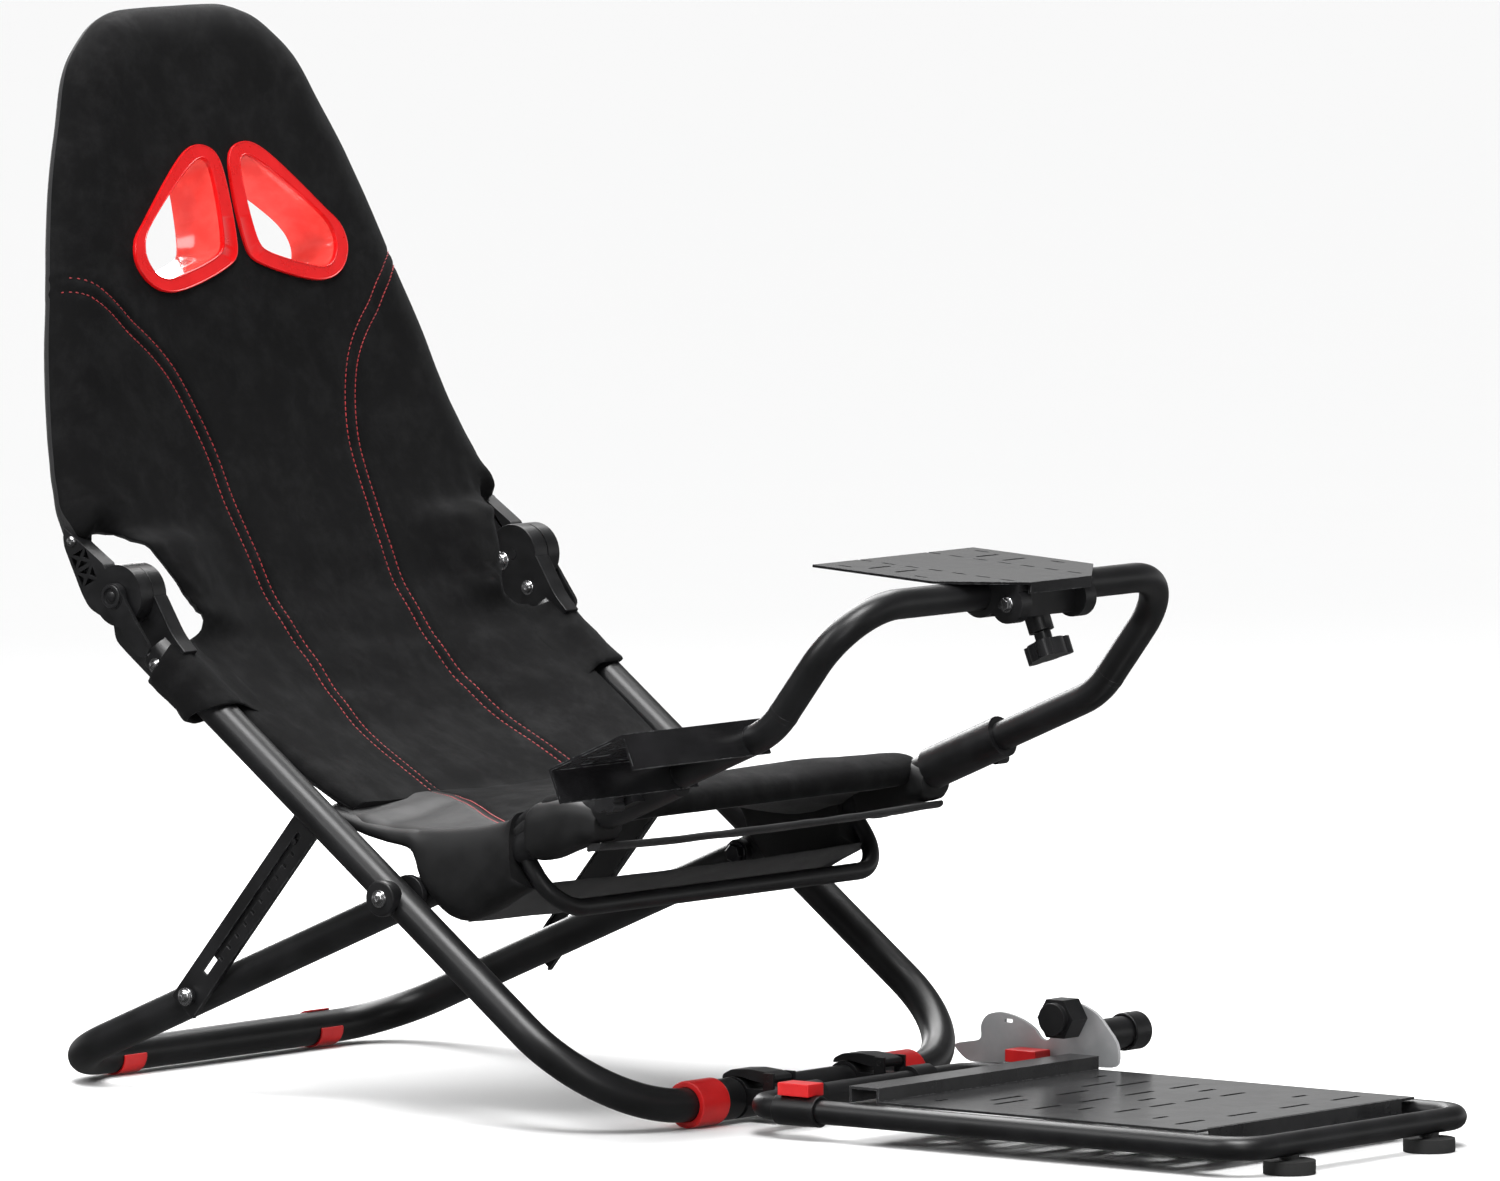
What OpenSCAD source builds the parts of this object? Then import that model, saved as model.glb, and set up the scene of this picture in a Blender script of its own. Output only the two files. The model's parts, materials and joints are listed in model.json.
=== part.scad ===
// Sim racing cockpit: a folding X frame with a sling seat, a wheel stand and a pedal deck.
// Millimetres, +X forward (towards the pedals), +Y to the sitter's left, +Z up.
// "near" is the -Y side and "far" is the +Y side.

/* [Main frame] */
// Outer diameter of the two large leg frames
leg_d = 32; // [28:1:36]
// Rear leg frame: half the distance between its two side tubes
rear_half = 248; // [230:1:270]
// Rear leg frame: climb of the side tubes in degrees
rear_tilt = 23; // [20:0.5:26]
// Rear leg frame: height of its ground tube axis
rear_z = 18; // [17:0.5:20]
// Rear leg frame: length of the side tubes along their slope
rear_len = 790; // [740:5:830]
// Rear leg frame: radius of the two ground bends
rear_bend = 75; // [60:5:100]
// Rear leg frame: distance forward to the bolts of the two folding struts
foot_x = 186; // [170:2:200]
// Distance forward from the rear ground tube to the crossing bolts
cross_x = 450; // [420:5:480]
// Front leg frame: climb of the side tubes in degrees
front_tilt = 36.9; // [34:0.1:40]
// Front leg frame: height of its ground tube axis
front_z = 22; // [20:0.5:25]
// Front leg frame: radius of the two ground bends
front_bend = 120; // [90:5:140]
// Space between a rear leg tube and a front leg tube at the crossing
cross_gap = 7; // [6.5:0.5:10]
// Diameter of the two crossing bolts
cross_pin_d = 10; // [8:1:12]
// Diameter of the thin U brace under the seat
brace_d = 16.5; // [14:0.5:18]
// Front leg frame: length of the side tubes along their slope
front_len = 652.9; // [620:1:680]

/* [Recline hinge] */
// Diameter of the round hinge drums
drum_d = 58; // [50:1:64]
// Diameter of the hinge pin
hinge_pin_d = 10; // [8:1:12]

/* [Seat] */
// Lean of the backrest from upright in degrees
back_lean = 14.7; // [10:0.1:20]
// Thickness of the backrest padding
back_t = 46; // [36:1:52]
// Height of the backrest along its lean, from the hinges
back_h = 553; // [520:1:590]

/* [Wheel stand] */
// Outer diameter of the telescoping arm
arm_d = 28; // [26:0.5:29]
// Running clearance around the telescoping arm
arm_clear = 0.1; // [0.05:0.05:0.3]
// Arm: length of its straight tubes beyond the rear leg frame, to the middle of the lower bends
arm_out = 146.4; // [140:0.2:180]
// Arm: climb of the risers in degrees
riser_tilt = 52; // [46:1:58]
// Arm: length of the sloping risers
riser_len = 148; // [130:2:170]
// Wheel plate: width
plate_w = 244; // [220:2:260]
// Wheel plate: depth from its back edge to its front edge
plate_l = 195; // [180:5:210]
// Wheel plate: nose-down tilt in degrees
plate_tilt = 3.3; // [0:0.1:10]
// Shifter bracket: length along the rear leg
shelf_l = 94; // [80:1:100]
// Shifter bracket: reach out to the side from the leg's axis
shelf_w = 182; // [150:2:200]

/* [Pedal deck] */
// Outer diameter of the pedal frame tube
ped_d = 22; // [20:1:25]
// Pedal frame: half the distance between its side tubes
ped_half = 173; // [160:1:185]
// Pedal frame: height of its tube axis
ped_z = 27; // [25:0.5:30]
// Pedal frame: distance forward to its back tube
ped_x0 = 775; // [765:1:790]
// Pedal frame: distance forward to its front tube
ped_x1 = 1345; // [1320:5:1370]
// Pedal plate: length without its raised back channel
deck_l = 364; // [340:2:380]
// Thickness of the steel plates
sheet_t = 2.5; // [2:0.1:3]

/* [Hidden] */
$fn = 48;
front_half = rear_half + leg_d + cross_gap;
cross_z = rear_z + cross_x * tan(rear_tilt);
front_x = cross_x + (cross_z - front_z) / tan(front_tilt);
leg_top_x = front_x - front_len * cos(front_tilt);
hinge_x = leg_top_x - 41;
hinge_z = front_z + front_len * sin(front_tilt) + 60;
arm_bore = arm_d + 2 * arm_clear;
riser_r = 80;
corner_r = 68;
arm_tan = riser_r * tan((riser_tilt - rear_tilt) / 2);
arm_u = rear_len + arm_out;
arm_x = arm_u * cos(rear_tilt);
arm_z = rear_z + arm_u * sin(rear_tilt);
bar_x = arm_x + riser_len * cos(riser_tilt);
bar_z = arm_z + riser_len * sin(riser_tilt);
sleeve_l = 66;
sleeve_nose = 24;
knob_u = rear_len - 23;
shelf_u = rear_len + sleeve_nose + 4;
plate_z = arm_d / 2 + 0.3;
strut_foot = [foot_x, rear_z + foot_x * tan(rear_tilt)];
strut_top = [cross_x - 105, cross_z + 105 * tan(front_tilt)];
strut_dir = atan2(strut_top[1] - strut_foot[1], strut_top[0] - strut_foot[0]);
strut_y = rear_half + leg_d / 2;
up_y = front_half + 26;
low_y = front_half + 8;
back_y = front_half + 15;
seat_front = (rear_len - sleeve_l) * cos(rear_tilt) - 6.5;
seat_k = (seat_front - cross_x - 20) / 190;
deck_x = ped_x0 + 146;
deck_top = ped_z + ped_d / 2;
ear_y = ped_half + ped_d / 2 + 5;
brace_x = 609;
brace_z = 203;
knob_lean = 25;
clip_pin_x = 43;
clip_pin_h = 20.5;
mid_x = 644.5;
mid_y = -55;

// Puts the frame's origin under the middle of the whole part
module place() {
  translate([-mid_x, -mid_y, 0]) children();
}

// A rod along +Y starting at y0
module rod_y(x, y0, z, len, d) {
  translate([x, y0, z]) rotate([-90, 0, 0]) cylinder(h = len, d = d);
}

// The same shape on both sides, drawn for the near side
module both() {
  children();
  mirror([0, 1, 0]) children();
}

// Near side (s = -1) or far side (s = 1) of a shape drawn for the near side
module side(s) {
  if (s < 0) children();
  else mirror([0, 1, 0]) children();
}

// A U-bent tube in its own plane: base along Y, side tubes along +X
module u_tube(half, len, r, d) {
  rod_y(0, -(half - r), 0, 2 * (half - r), d);
  for (s = [-1, 1])
    translate([r, s * (half - r), 0]) rotate([0, 0, 135 - 45 * s])
      rotate_extrude(angle = 90) translate([r, 0]) circle(d = d);
  for (s = [-1, 1]) translate([r, s * half, 0]) rotate([0, 90, 0]) cylinder(h = len - r, d = d);
}

// A rod along +X starting at x0
module rod_x(x0, len, d) {
  translate([x0, 0, 0]) rotate([0, 90, 0]) cylinder(h = len, d = d);
}

// Moves a shape drawn along +X onto a rear leg's axis
module on_rear_leg(s) {
  translate([0, s * rear_half, rear_z]) rotate([0, -rear_tilt, 0]) children();
}

// Moves a shape drawn along +X onto a front leg's axis, +X running up and back
module on_front_leg(s) {
  translate([front_x, s * front_half, front_z]) rotate([0, front_tilt, 0]) rotate([0, 0, 180]) children();
}

// A plate drawn in X and Z, from y0 to y0 + t
module plate_xz(pts, y0, t) {
  translate([0, y0 + t, 0]) rotate([90, 0, 0]) linear_extrude(t) polygon(pts);
}

// The same plate, drawn from the hinge axis
module plate_at_hinge(pts, y0, t) {
  translate([hinge_x, 0, hinge_z]) plate_xz(pts, y0, t);
}

// A slot with round ends, long way along +Y, through a plate lying at z = 0
module slot_y(x, y, len, w) {
  for (s = [-1, 1]) translate([x, y + s * (len - w) / 2, -1]) cylinder(h = 12, d = w);
  translate([x - w / 2, y - (len - w) / 2, -1]) cube([w, len - w, 12]);
}

// A slot with round ends, long way along +X
module slot_x(x, y, len, w) {
  translate([x, y, 0]) rotate([0, 0, 90]) slot_y(0, 0, len, w);
}

// A hand knob with round lobes, standing on z = 0
module star_knob(h, r, lobes) {
  cylinder(h = h, r = 0.72 * r);
  for (i = [0:lobes - 1])
    rotate([0, 0, i * 360 / lobes]) translate([0.68 * r, 0, 0]) cylinder(h = h, r = 0.32 * r);
}

// An outline with its corners rounded back by up to r
function rounded(pts, r) =
  let (n = len(pts))
  [for (i = [0:n - 1])
    let (b = pts[i], u = pts[(i + n - 1) % n] - b, v = pts[(i + 1) % n] - b)
    let (k = min(r, 0.45 * norm(u), 0.45 * norm(v)))
    for (t = [0:1 / 3:1]) b + (1 - t) * (1 - t) * k * u / norm(u) + t * t * k * v / norm(v)];

// An outline of points with its first size times k
function wide(pts, k) = [for (p = pts) [p[0] * k, p[1]]];

module rear_leg_frame() {
  color([0.06, 0.06, 0.06]) place() {
    difference() {
      translate([0, 0, rear_z]) rotate([0, -rear_tilt, 0]) u_tube(rear_half, rear_len, rear_bend, leg_d);
      for (s = [-1, 1]) on_rear_leg(s) {
        rod_x(rear_len - 180, 200, arm_bore);
        translate([knob_u, 0, 0]) rotate([-90 * s, 0, 0]) cylinder(h = leg_d, d = 8.6);
      }
    }
    both() {
      rod_y(cross_x, -front_half - leg_d / 2 - 6, cross_z, leg_d + cross_gap + 10, cross_pin_d);
      rod_y(cross_x, -front_half - leg_d / 2 - 6, cross_z, 5, 20);
      rod_y(cross_x, -rear_half + leg_d / 2 - 1, cross_z, 8, 26);
      rod_y(strut_foot[0], -strut_y - 12, strut_foot[1], 20, 8);
      rod_y(strut_foot[0], -strut_y - 12, strut_foot[1], 5, 16);
    }
  }
}

// The thin U-bent rod under the front of the seat
module brace_rod(d) {
  translate([brace_x, 0, brace_z]) rotate([0, 53, 0]) rotate([0, 0, 180]) u_tube(rear_half, 62, 40, d);
}

module seat_brace() {
  color([0.06, 0.06, 0.06]) place()
    difference() {
      brace_rod(brace_d);
      for (s = [-1, 1]) on_rear_leg(s) rod_x(0, rear_len, leg_d);
    }
}

// The seat's side outline, drawn back from its front edge
seat_mid = [[-282, 292], [-220, 276], [-120, 288], [-35, 312], [-10, 306], [-2, 290], [-20, 262], [-100, 216],
  [-160, 190], [-220, 222], [-276, 268]];
seat_wing = [[-190, 240], [-40, 309], [-12, 306], [0, 290], [-20, 262], [-100, 216], [-160, 200]];

module seat_cushion() {
  color([0.04, 0.04, 0.045]) place()
    difference() {
      translate([seat_front, 0, 0]) {
        plate_xz(wide(seat_mid, seat_k), -rear_half + 18, 2 * rear_half - 36);
        both() plate_xz(wide(seat_wing, seat_k), -rear_half - 20, 38);
      }
      for (s = [-1, 1]) on_rear_leg(s) rod_x(0, rear_len, leg_d + 0.4);
      both() rod_y(cross_x, -rear_half + leg_d / 2 - 1, cross_z, 8.4, 26.6);
      brace_rod(brace_d + 0.6);
    }
}

module rear_foot_clips() {
  color([0.75, 0.05, 0.06]) place()
    for (s = [-1, 1])
      difference() {
        rod_y(0, s * 147 - 16, rear_z, 32, leg_d + 4);
        rod_y(0, s * 147 - 17, rear_z, 34, leg_d);
        translate([0, s * 147 - 17, rear_z + 2]) cube([30, 34, 30]);
      }
}

module pivot_spacers() {
  color([0.03, 0.03, 0.03]) place()
    both()
      difference() {
        rod_y(cross_x, -rear_half - leg_d / 2 - cross_gap + 0.4, cross_z, cross_gap - 0.8, 38);
        rod_y(cross_x, -rear_half - leg_d / 2 - cross_gap, cross_z, cross_gap + 1, cross_pin_d);
      }
}

module arm_sleeves() {
  color([0.03, 0.03, 0.03]) place()
    for (s = [-1, 1])
      on_rear_leg(s)
        difference() {
          union() {
            rod_x(rear_len - sleeve_l, sleeve_l + sleeve_nose, leg_d + 8);
            translate([knob_u - 17, s * 24 - 10, -12]) cube([34, 20, 24]);
          }
          rod_x(rear_len - sleeve_l - 1, sleeve_l + 1, leg_d);
          rod_x(rear_len - sleeve_l - 1, sleeve_l + sleeve_nose + 2, arm_bore);
          translate([knob_u, s * 10, 0]) rotate([-90 * s, 0, 0]) cylinder(h = 30, d = 8.2);
        }
}

module front_leg_frame() {
  color([0.06, 0.06, 0.06]) place()
    difference() {
      translate([front_x, 0, front_z]) rotate([0, front_tilt, 0]) rotate([0, 0, 180])
        u_tube(front_half, front_len, front_bend, leg_d);
      both() rod_y(cross_x, -front_half - leg_d, cross_z, 2 * leg_d, cross_pin_d + 0.2);
    }
}

// Outlines of the two halves of a recline hinge, drawn from its axis
low_plate = rounded([[-24, -14], [-20, -32], [-18, -44], [-6, -54], [27, -79], [70, -108], [95, -78],
  [52, -36], [26, 6]], 9);
up_plate = rounded([[-12, -24], [-34, -14], [-43, -2], [-66, 44], [-67, 60], [-34, 64], [-16, 24],
  [-4, 16]], 6);
// The strap that carries on up inside the padding, grown by k all round
function up_strap(k) =
  rounded([[-60 - k, 34 - k], [-96 - k, 140 + k], [-66 + k, 148 + k], [-30 + k, 58 - k]], 8);

// A pocket between the upper plate's crossed ribs, by place across and along its strip
module pocket(pts) {
  translate([hinge_x - 30, -up_y - 1, hinge_z + 2]) rotate([0, -27, 0]) plate_xz(pts, 0, 6);
}

module hinge_lower_brackets() {
  color([0.03, 0.03, 0.03]) place()
    both()
      difference() {
        union() {
          rod_y(hinge_x, -low_y, hinge_z, 19, drum_d);
          plate_at_hinge(low_plate, -low_y, 19);
          on_front_leg(-1) rod_x(front_len - 40, 52, leg_d + 8);
        }
        on_front_leg(-1) rod_x(front_len - 80, 80, leg_d);
        rod_y(hinge_x, -up_y - 20, hinge_z, 80, hinge_pin_d + 0.2);
      }
}

// The lower sling's side outline, drawn from the hinge axis
sling_mid = [[-30, -6], [-8, -34], [34, -82], [220, -218], [232, -192], [69, -70], [14, -16], [-12, 14]];
sling_wing = [[76, -112], [220, -218], [232, -192], [90, -86]];

module lower_back_sling() {
  color([0.04, 0.04, 0.045]) place()
    difference() {
      union() {
        plate_at_hinge(sling_mid, -rear_half + 26, 2 * rear_half - 52);
        both() plate_at_hinge(sling_wing, -rear_half - 14, 42);
        both() on_front_leg(-1) rod_x(front_len - 78, 66, leg_d + 18);
      }
      for (s = [-1, 1]) on_front_leg(s) {
        rod_x(front_len - 41, 60, leg_d + 8.4);
        rod_x(0, front_len, leg_d + 0.4);
      }
      both() plate_at_hinge(low_plate, -low_y - 0.2, 19.4);
    }
}

module ground_collars() {
  color([0.75, 0.05, 0.06]) place()
    for (s = [-1, 1])
      difference() {
        rod_y(front_x, s * 150 - 20, front_z, 40, 2 * front_z);
        rod_y(front_x, s * 150 - 21, front_z, 42, leg_d);
      }
}

module tube_couplers() {
  color([0.03, 0.03, 0.03]) place()
    for (s = [-1, 1])
      difference() {
        rod_y(front_x, s * 115 - 12, front_z, 24, leg_d + 7);
        rod_y(front_x, s * 115 - 13, front_z, 26, leg_d);
      }
}

module tube_clips() {
  color([0.03, 0.03, 0.03]) place()
    for (s = [-1, 1])
      difference() {
        union() {
          rod_y(ped_x0, s * 84 - 15, ped_z, 30, ped_d + 8);
          rod_y(front_x, s * 84 - 15, front_z, 30, leg_d + 7);
          translate([front_x, s * 84 - 15, front_z - 6]) cube([ped_x0 - front_x, 30, 16]);
          for (y = [-17, 14.2])
            translate([front_x + clip_pin_x - 6, s * 84 + y, front_z]) cube([12, 2.8, 26]);
        }
        rod_y(front_x + clip_pin_x, s * 84 - 20, front_z + clip_pin_h, 40, 5.2);
        rod_y(ped_x0, s * 84 - 16, ped_z, 32, ped_d);
        rod_y(front_x, s * 84 - 20, front_z, 40, leg_d + 0.2);
      }
}

module hinge_upper_brackets() {
  color([0.03, 0.03, 0.03]) place()
    both() {
      difference() {
        union() {
          rod_y(hinge_x, -up_y, hinge_z, 17, drum_d);
          plate_at_hinge(up_plate, -up_y, 17);
          plate_at_hinge(up_strap(0), -up_y + 14, 12);
        }
        rod_y(hinge_x, -up_y - 1, hinge_z, 9, hinge_pin_d + 0.2);
        for (z = [8, 26]) {
          for (x = [-1, 1]) pocket([[x * 10, z + 2], [x * 10, z + 14], [x * 4, z + 8]]);
          for (k = [-1, 1]) pocket([[-7, z + 8 + 7 * k], [7, z + 8 + 7 * k], [0, z + 8 + 2 * k]]);
        }
      }
      rod_y(hinge_x, -up_y + 16, hinge_z, 21, hinge_pin_d);
    }
}

// Moves a shape from the backrest's own plane (X out to +Y, Y up the lean, Z forward) to its place
module on_back() {
  translate([hinge_x - 53.5, 0, hinge_z]) rotate([0, -back_lean, 0]) rotate([90, 0, 90]) children();
}

// Half of the backrest's outline, for a half width of 302 at its widest
back_edge = [[222, 22], [222, 60], [300, 54], [302, 90], [297, 119], [280, 185], [250, 283], [210, 400],
  [160, 500], [120, back_h - 15], [70, back_h]];
back_rim = wide(back_edge, back_y / 302);
// Inner edge of the far window, in the backrest's own plane
win_edge = [[22, 388], [27, 397], [38, 398], [128, 336], [139, 322], [141, 307], [131, 290], [115, 285],
  [101, 287], [32, 307], [26, 316]];
// Outer edge of its bezel
rim_edge = [[6, 394], [14, 406], [34, 412], [56, 406], [135, 341], [153, 324], [157, 303], [143, 282],
  [113, 272], [28, 291], [10, 301], [5, 318]];
win_mid = [76, 336];

// The window's inner edge, grown about its middle
module window(k) {
  polygon(rounded([for (p = win_edge) win_mid + k * (p - win_mid)], 8));
}

module backrest_cushion() {
  n = len(back_rim);
  color([0.04, 0.04, 0.045]) place()
    difference() {
      on_back() translate([0, 0, -back_t / 2]) linear_extrude(back_t)
        difference() {
          polygon(rounded(concat(back_rim, [for (i = [n - 1:-1:0]) [-back_rim[i][0], back_rim[i][1]]]), 24));
          window(1.12);
          mirror([1, 0, 0]) window(1.12);
        }
      both() plate_at_hinge(up_plate, -up_y - 0.2, 17.4);
      both() plate_at_hinge(up_strap(0.4), -up_y + 13.8, 12.4);
      both() rod_y(hinge_x, -up_y - 0.2, hinge_z, 17.4, drum_d + 0.4);
    }
}

module bezel_shape() {
  on_back()
    difference() {
      union() {
        translate([0, 0, -back_t / 2 - 2]) linear_extrude(back_t + 3) window(1.12);
        translate([0, 0, back_t / 2]) linear_extrude(4) polygon(rounded(rim_edge, 10));
      }
      translate([0, 0, -back_t]) linear_extrude(2 * back_t) window(1);
    }
}

module bezel_near() {
  color([0.75, 0.05, 0.06]) place() mirror([0, 1, 0]) bezel_shape();
}

module bezel_far() {
  color([0.75, 0.05, 0.06]) place() bezel_shape();
}

// A recline lever's outline, drawn from the hinge axis
grip_edge = [[-9, 8], [9, 8], [18, -8], [46, -46], [40, -56], [30, -54], [-9, -8]];

module recline_lever(s) {
  color([0.03, 0.03, 0.03]) place() side(s) {
    rod_y(hinge_x, -up_y - 6, hinge_z, 13, hinge_pin_d);
    rod_y(hinge_x, -up_y - 9, hinge_z, 8, 24);
    plate_at_hinge(rounded(grip_edge, 6), -up_y - 8, 4);
  }
}

module recline_lever_near() {
  recline_lever(-1);
}

module recline_lever_far() {
  recline_lever(1);
}

// Moves a shape drawn along +X to the strut, for the near side
module on_strut() {
  translate([strut_foot[0], -strut_y, strut_foot[1]]) rotate([0, -strut_dir, 0]) children();
}

module strut_channel(s) {
  color([0.05, 0.05, 0.05]) place() side(s)
    difference() {
      on_strut() translate([-14, -6.2, -16]) cube([250, 5.6, 32]);
      on_strut() translate([-15, -3.7, -13.5]) cube([252, 4, 27]);
      on_strut() translate([30, -8, -3]) cube([180, 5, 6]);
      on_strut() for (i = [0:9]) translate([53 + 15 * i, -8, -8]) cube([3.5, 5, 8]);
      rod_y(strut_foot[0], -strut_y - 20, strut_foot[1], 30, 8.2);
    }
}

module strut_channel_near() {
  strut_channel(-1);
}

module strut_channel_far() {
  strut_channel(1);
}

module strut_bar(s) {
  color([0.05, 0.05, 0.05]) place() side(s) {
    on_strut() translate([48, -3.1, -12.8]) cube([204, 2.5, 25.6]);
    on_strut() translate([200, -0.8, 0]) rotate([90, 0, 0]) cylinder(h = 6.2, d = 5.6);
  }
}

module strut_bar_near() {
  strut_bar(-1);
}

module strut_bar_far() {
  strut_bar(1);
}

module steering_arm() {
  start = rear_len - 150;
  stop = arm_u - arm_tan;
  color([0.06, 0.06, 0.06]) place() {
    for (s = [-1, 1])
      on_rear_leg(s) {
        rod_x(start, stop - start, arm_d);
        translate([stop, 0, riser_r]) rotate([90, 0, 0]) rotate([0, 0, -90])
          rotate_extrude(angle = riser_tilt - rear_tilt) translate([riser_r, 0]) circle(d = arm_d);
      }
    translate([bar_x, 0, bar_z]) rotate([0, -riser_tilt, 0]) rotate([0, 0, 180]) {
      u_tube(rear_half, riser_len - arm_tan, corner_r, arm_d);
      for (s = [-1, 1]) translate([0, s * rear_half, 0]) rod_x(riser_len - arm_tan - 2.5, 5, arm_d + 0.4);
    }
  }
}

module shifter_bracket() {
  color([0.07, 0.07, 0.07]) place()
    difference() {
      translate([0, -rear_half, rear_z]) rotate([0, -rear_tilt, 0]) translate([shelf_u, 0, 0])
        difference() {
          translate([0, -shelf_w, -14]) cube([shelf_l, shelf_w + 20, 34]);
          translate([sheet_t, -shelf_w - 1, -15]) cube([shelf_l - 2 * sheet_t, shelf_w + 22, 35 - sheet_t]);
          for (i = [0:3]) for (y = [17, 72])
            translate([0, 0, 12]) slot_y(0.15 * shelf_l + 0.23 * shelf_l * i, y + 15 - shelf_w, 30, 5);
        }
      on_rear_leg(-1) rod_x(rear_len, arm_u, arm_d + 0.2);
    }
}

// Moves a shape from the wheel plate's own frame to its place on the bar
module on_bar() {
  translate([bar_x, 0, bar_z]) rotate([0, plate_tilt, 0]) children();
}

module wheel_plate() {
  back = 144 * plate_l / 195;
  front = plate_l - back;
  color([0.07, 0.07, 0.07]) place()
    on_bar() translate([0, 0, plate_z])
      difference() {
        union() {
          linear_extrude(sheet_t) polygon([[-back, -plate_w / 2], [-4, -plate_w / 2], [front, -46],
            [front, 46], [-4, plate_w / 2], [-back, plate_w / 2]]);
          translate([front - sheet_t, -46, -8]) cube([sheet_t, 92, 9]);
        }
        for (y = [-52, 52]) for (i = [-5:1]) slot_x(27.4 * i, y, 16, 4.5);
        for (y = [-104, 104]) for (x = [-120, -32]) slot_x(x, y, 16, 4.5);
        for (y = [-82, 82]) for (x = [-97, -66]) slot_y(x, y, 33, 4.5);
      }
}

// The plate clamp's knob leans forward, away from the bar
module on_knob() {
  translate([22, 0, -14]) rotate([0, 180 - knob_lean, 0]) children();
}

module plate_clamp() {
  color([0.03, 0.03, 0.03]) place() on_bar()
    difference() {
      union() {
        rod_y(0, -57, 0, 114, arm_d + 14);
        translate([0, -52, -18]) cube([36, 104, 18 + plate_z - 0.1]);
        for (s = [-1, 1]) rod_y(32, s * 49 - 8, -5, 16, 36);
        translate([-30, -57, 8]) cube([75, 114, plate_z - 8.1]);
        on_knob() cylinder(h = 22, d = 24);
      }
      rod_y(0, -58, 0, 116, arm_d + 0.2);
      translate([-40, -60, plate_z - 0.1]) cube([100, 120, 14]);
      on_knob() translate([0, 0, -2]) cylinder(h = 40, d = 8.2);
    }
}

module plate_knob() {
  color([0.03, 0.03, 0.03]) place() on_bar() on_knob() {
    translate([0, 0, 2]) cylinder(h = 34, d = 8);
    translate([0, 0, 23]) cylinder(h = 12, d = 16);
    translate([0, 0, 32]) star_knob(16, 24, 3);
  }
}

module sleeve_knob(s) {
  color([0.03, 0.03, 0.03]) place() on_rear_leg(s)
    translate([knob_u, 0, 0]) rotate([-90 * s, 0, 0]) {
      translate([0, 0, arm_d / 2 + 0.4]) cylinder(h = 32, d = 8);
      translate([0, 0, 36]) star_knob(16, 16, 5);
    }
}

module sleeve_knob_near() {
  sleeve_knob(-1);
}

module sleeve_knob_far() {
  sleeve_knob(1);
}

module pedal_frame() {
  ped_len = ped_x1 - ped_x0;
  color([0.06, 0.06, 0.06]) place()
    translate([ped_x0, 0, ped_z]) {
      u_tube(ped_half, ped_len / 2, 36, ped_d);
      translate([ped_len, 0, 0]) rotate([0, 0, 180]) u_tube(ped_half, ped_len / 2, 36, ped_d);
    }
}

// Rows of slots across the pedal plate: distance from its back edge, pitch, how many, length
deck_rows = [[38, 242, 2, 20], [75, 140, 2, 50], [97, 93, 3, 50], [148, 70, 4, 44], [183, 93, 3, 26],
  [221, 54, 4, 38], [278, 214, 2, 22], [321, 80, 4, 44]];

module pedal_plate() {
  half = ped_half - 5;
  color([0.09, 0.09, 0.09]) place()
    translate([deck_x, 0, deck_top])
      difference() {
        union() {
          translate([0, -half, 0]) cube([deck_l, 2 * half, sheet_t]);
          translate([-32, -half, 0]) cube([34, 2 * half, 15]);
        }
        translate([-32 + sheet_t, -half - 1, -1]) cube([34 - 2 * sheet_t, 2 * half + 2, 16 - sheet_t]);
        for (row = deck_rows) for (i = [0:row[2] - 1])
          slot_y(row[0], (i - (row[2] - 1) / 2) * row[1], row[3], 6);
      }
}

module lock_saddles() {
  color([0.03, 0.03, 0.03]) place()
    for (s = [-1, 1]) translate([0, s * ped_half, ped_z])
      difference() {
        rod_x(ped_x0 + 37, 48, ped_d + 7);
        rod_x(ped_x0 + 36, 50, ped_d);
      }
}

module lock_tabs() {
  color([0.75, 0.05, 0.06]) place()
    for (s = [-1, 1]) translate([ped_x0 + 43, s * ped_half, ped_z])
      difference() {
        translate([0, -12, (ped_d + 7) / 2 - 0.6]) cube([36, 24, 12]);
        rod_x(-1, 40, ped_d + 7);
      }
}

// Outline of the side tube's bracket, drawn from the pedal frame's back tube
ear_edge = [[-22, 34], [155, 40], [155, 62], [130, 90], [107, 99], [92, 92], [84, 72], [72, 60], [64, 62],
  [58, 70], [46, 77], [30, 82], [14, 84], [0, 80], [-7, 70], [-5, 56], [-41, 50]];

module ear_plate() {
  color([0.3, 0.3, 0.31]) place() translate([ped_x0, 0, 0]) {
    difference() {
      plate_xz(rounded(ear_edge, 9), ear_y, 4);
      rod_y(107, ped_half - 20, 86, 100, 8.2);
      translate([22, ear_y - 1, 74]) cube([9, 6, 3.5]);
    }
    difference() {
      translate([87, ped_half - 14, ped_z - 14]) cube([28, ped_d / 2 + 19.5, 34]);
      translate([0, ped_half, ped_z]) rod_x(85, 64, ped_d);
      translate([85, ped_half - 30, ped_z + ped_d / 2]) cube([64, 25.4, 40]);
    }
  }
}

module side_tube() {
  color([0.06, 0.06, 0.06]) place()
    rod_y(ped_x0 + 93, ear_y + 4, 62, 105, 30);
}

module side_tube_cap() {
  color([0.03, 0.03, 0.03]) place()
    difference() {
      rod_y(ped_x0 + 93, ear_y + 89, 62, 24, 36);
      rod_y(ped_x0 + 93, ear_y + 88, 62, 21, 30);
    }
}

module level_feet() {
  color([0.03, 0.03, 0.03]) place()
    for (s = [-1, 1]) translate([ped_x1, s * 108, 0])
      difference() {
        union() {
          cylinder(h = 13, d = 48);
          cylinder(h = ped_z - ped_d / 2 + 2, d = 18);
        }
        rod_y(0, -30, ped_z, 60, ped_d);
      }
}

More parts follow.
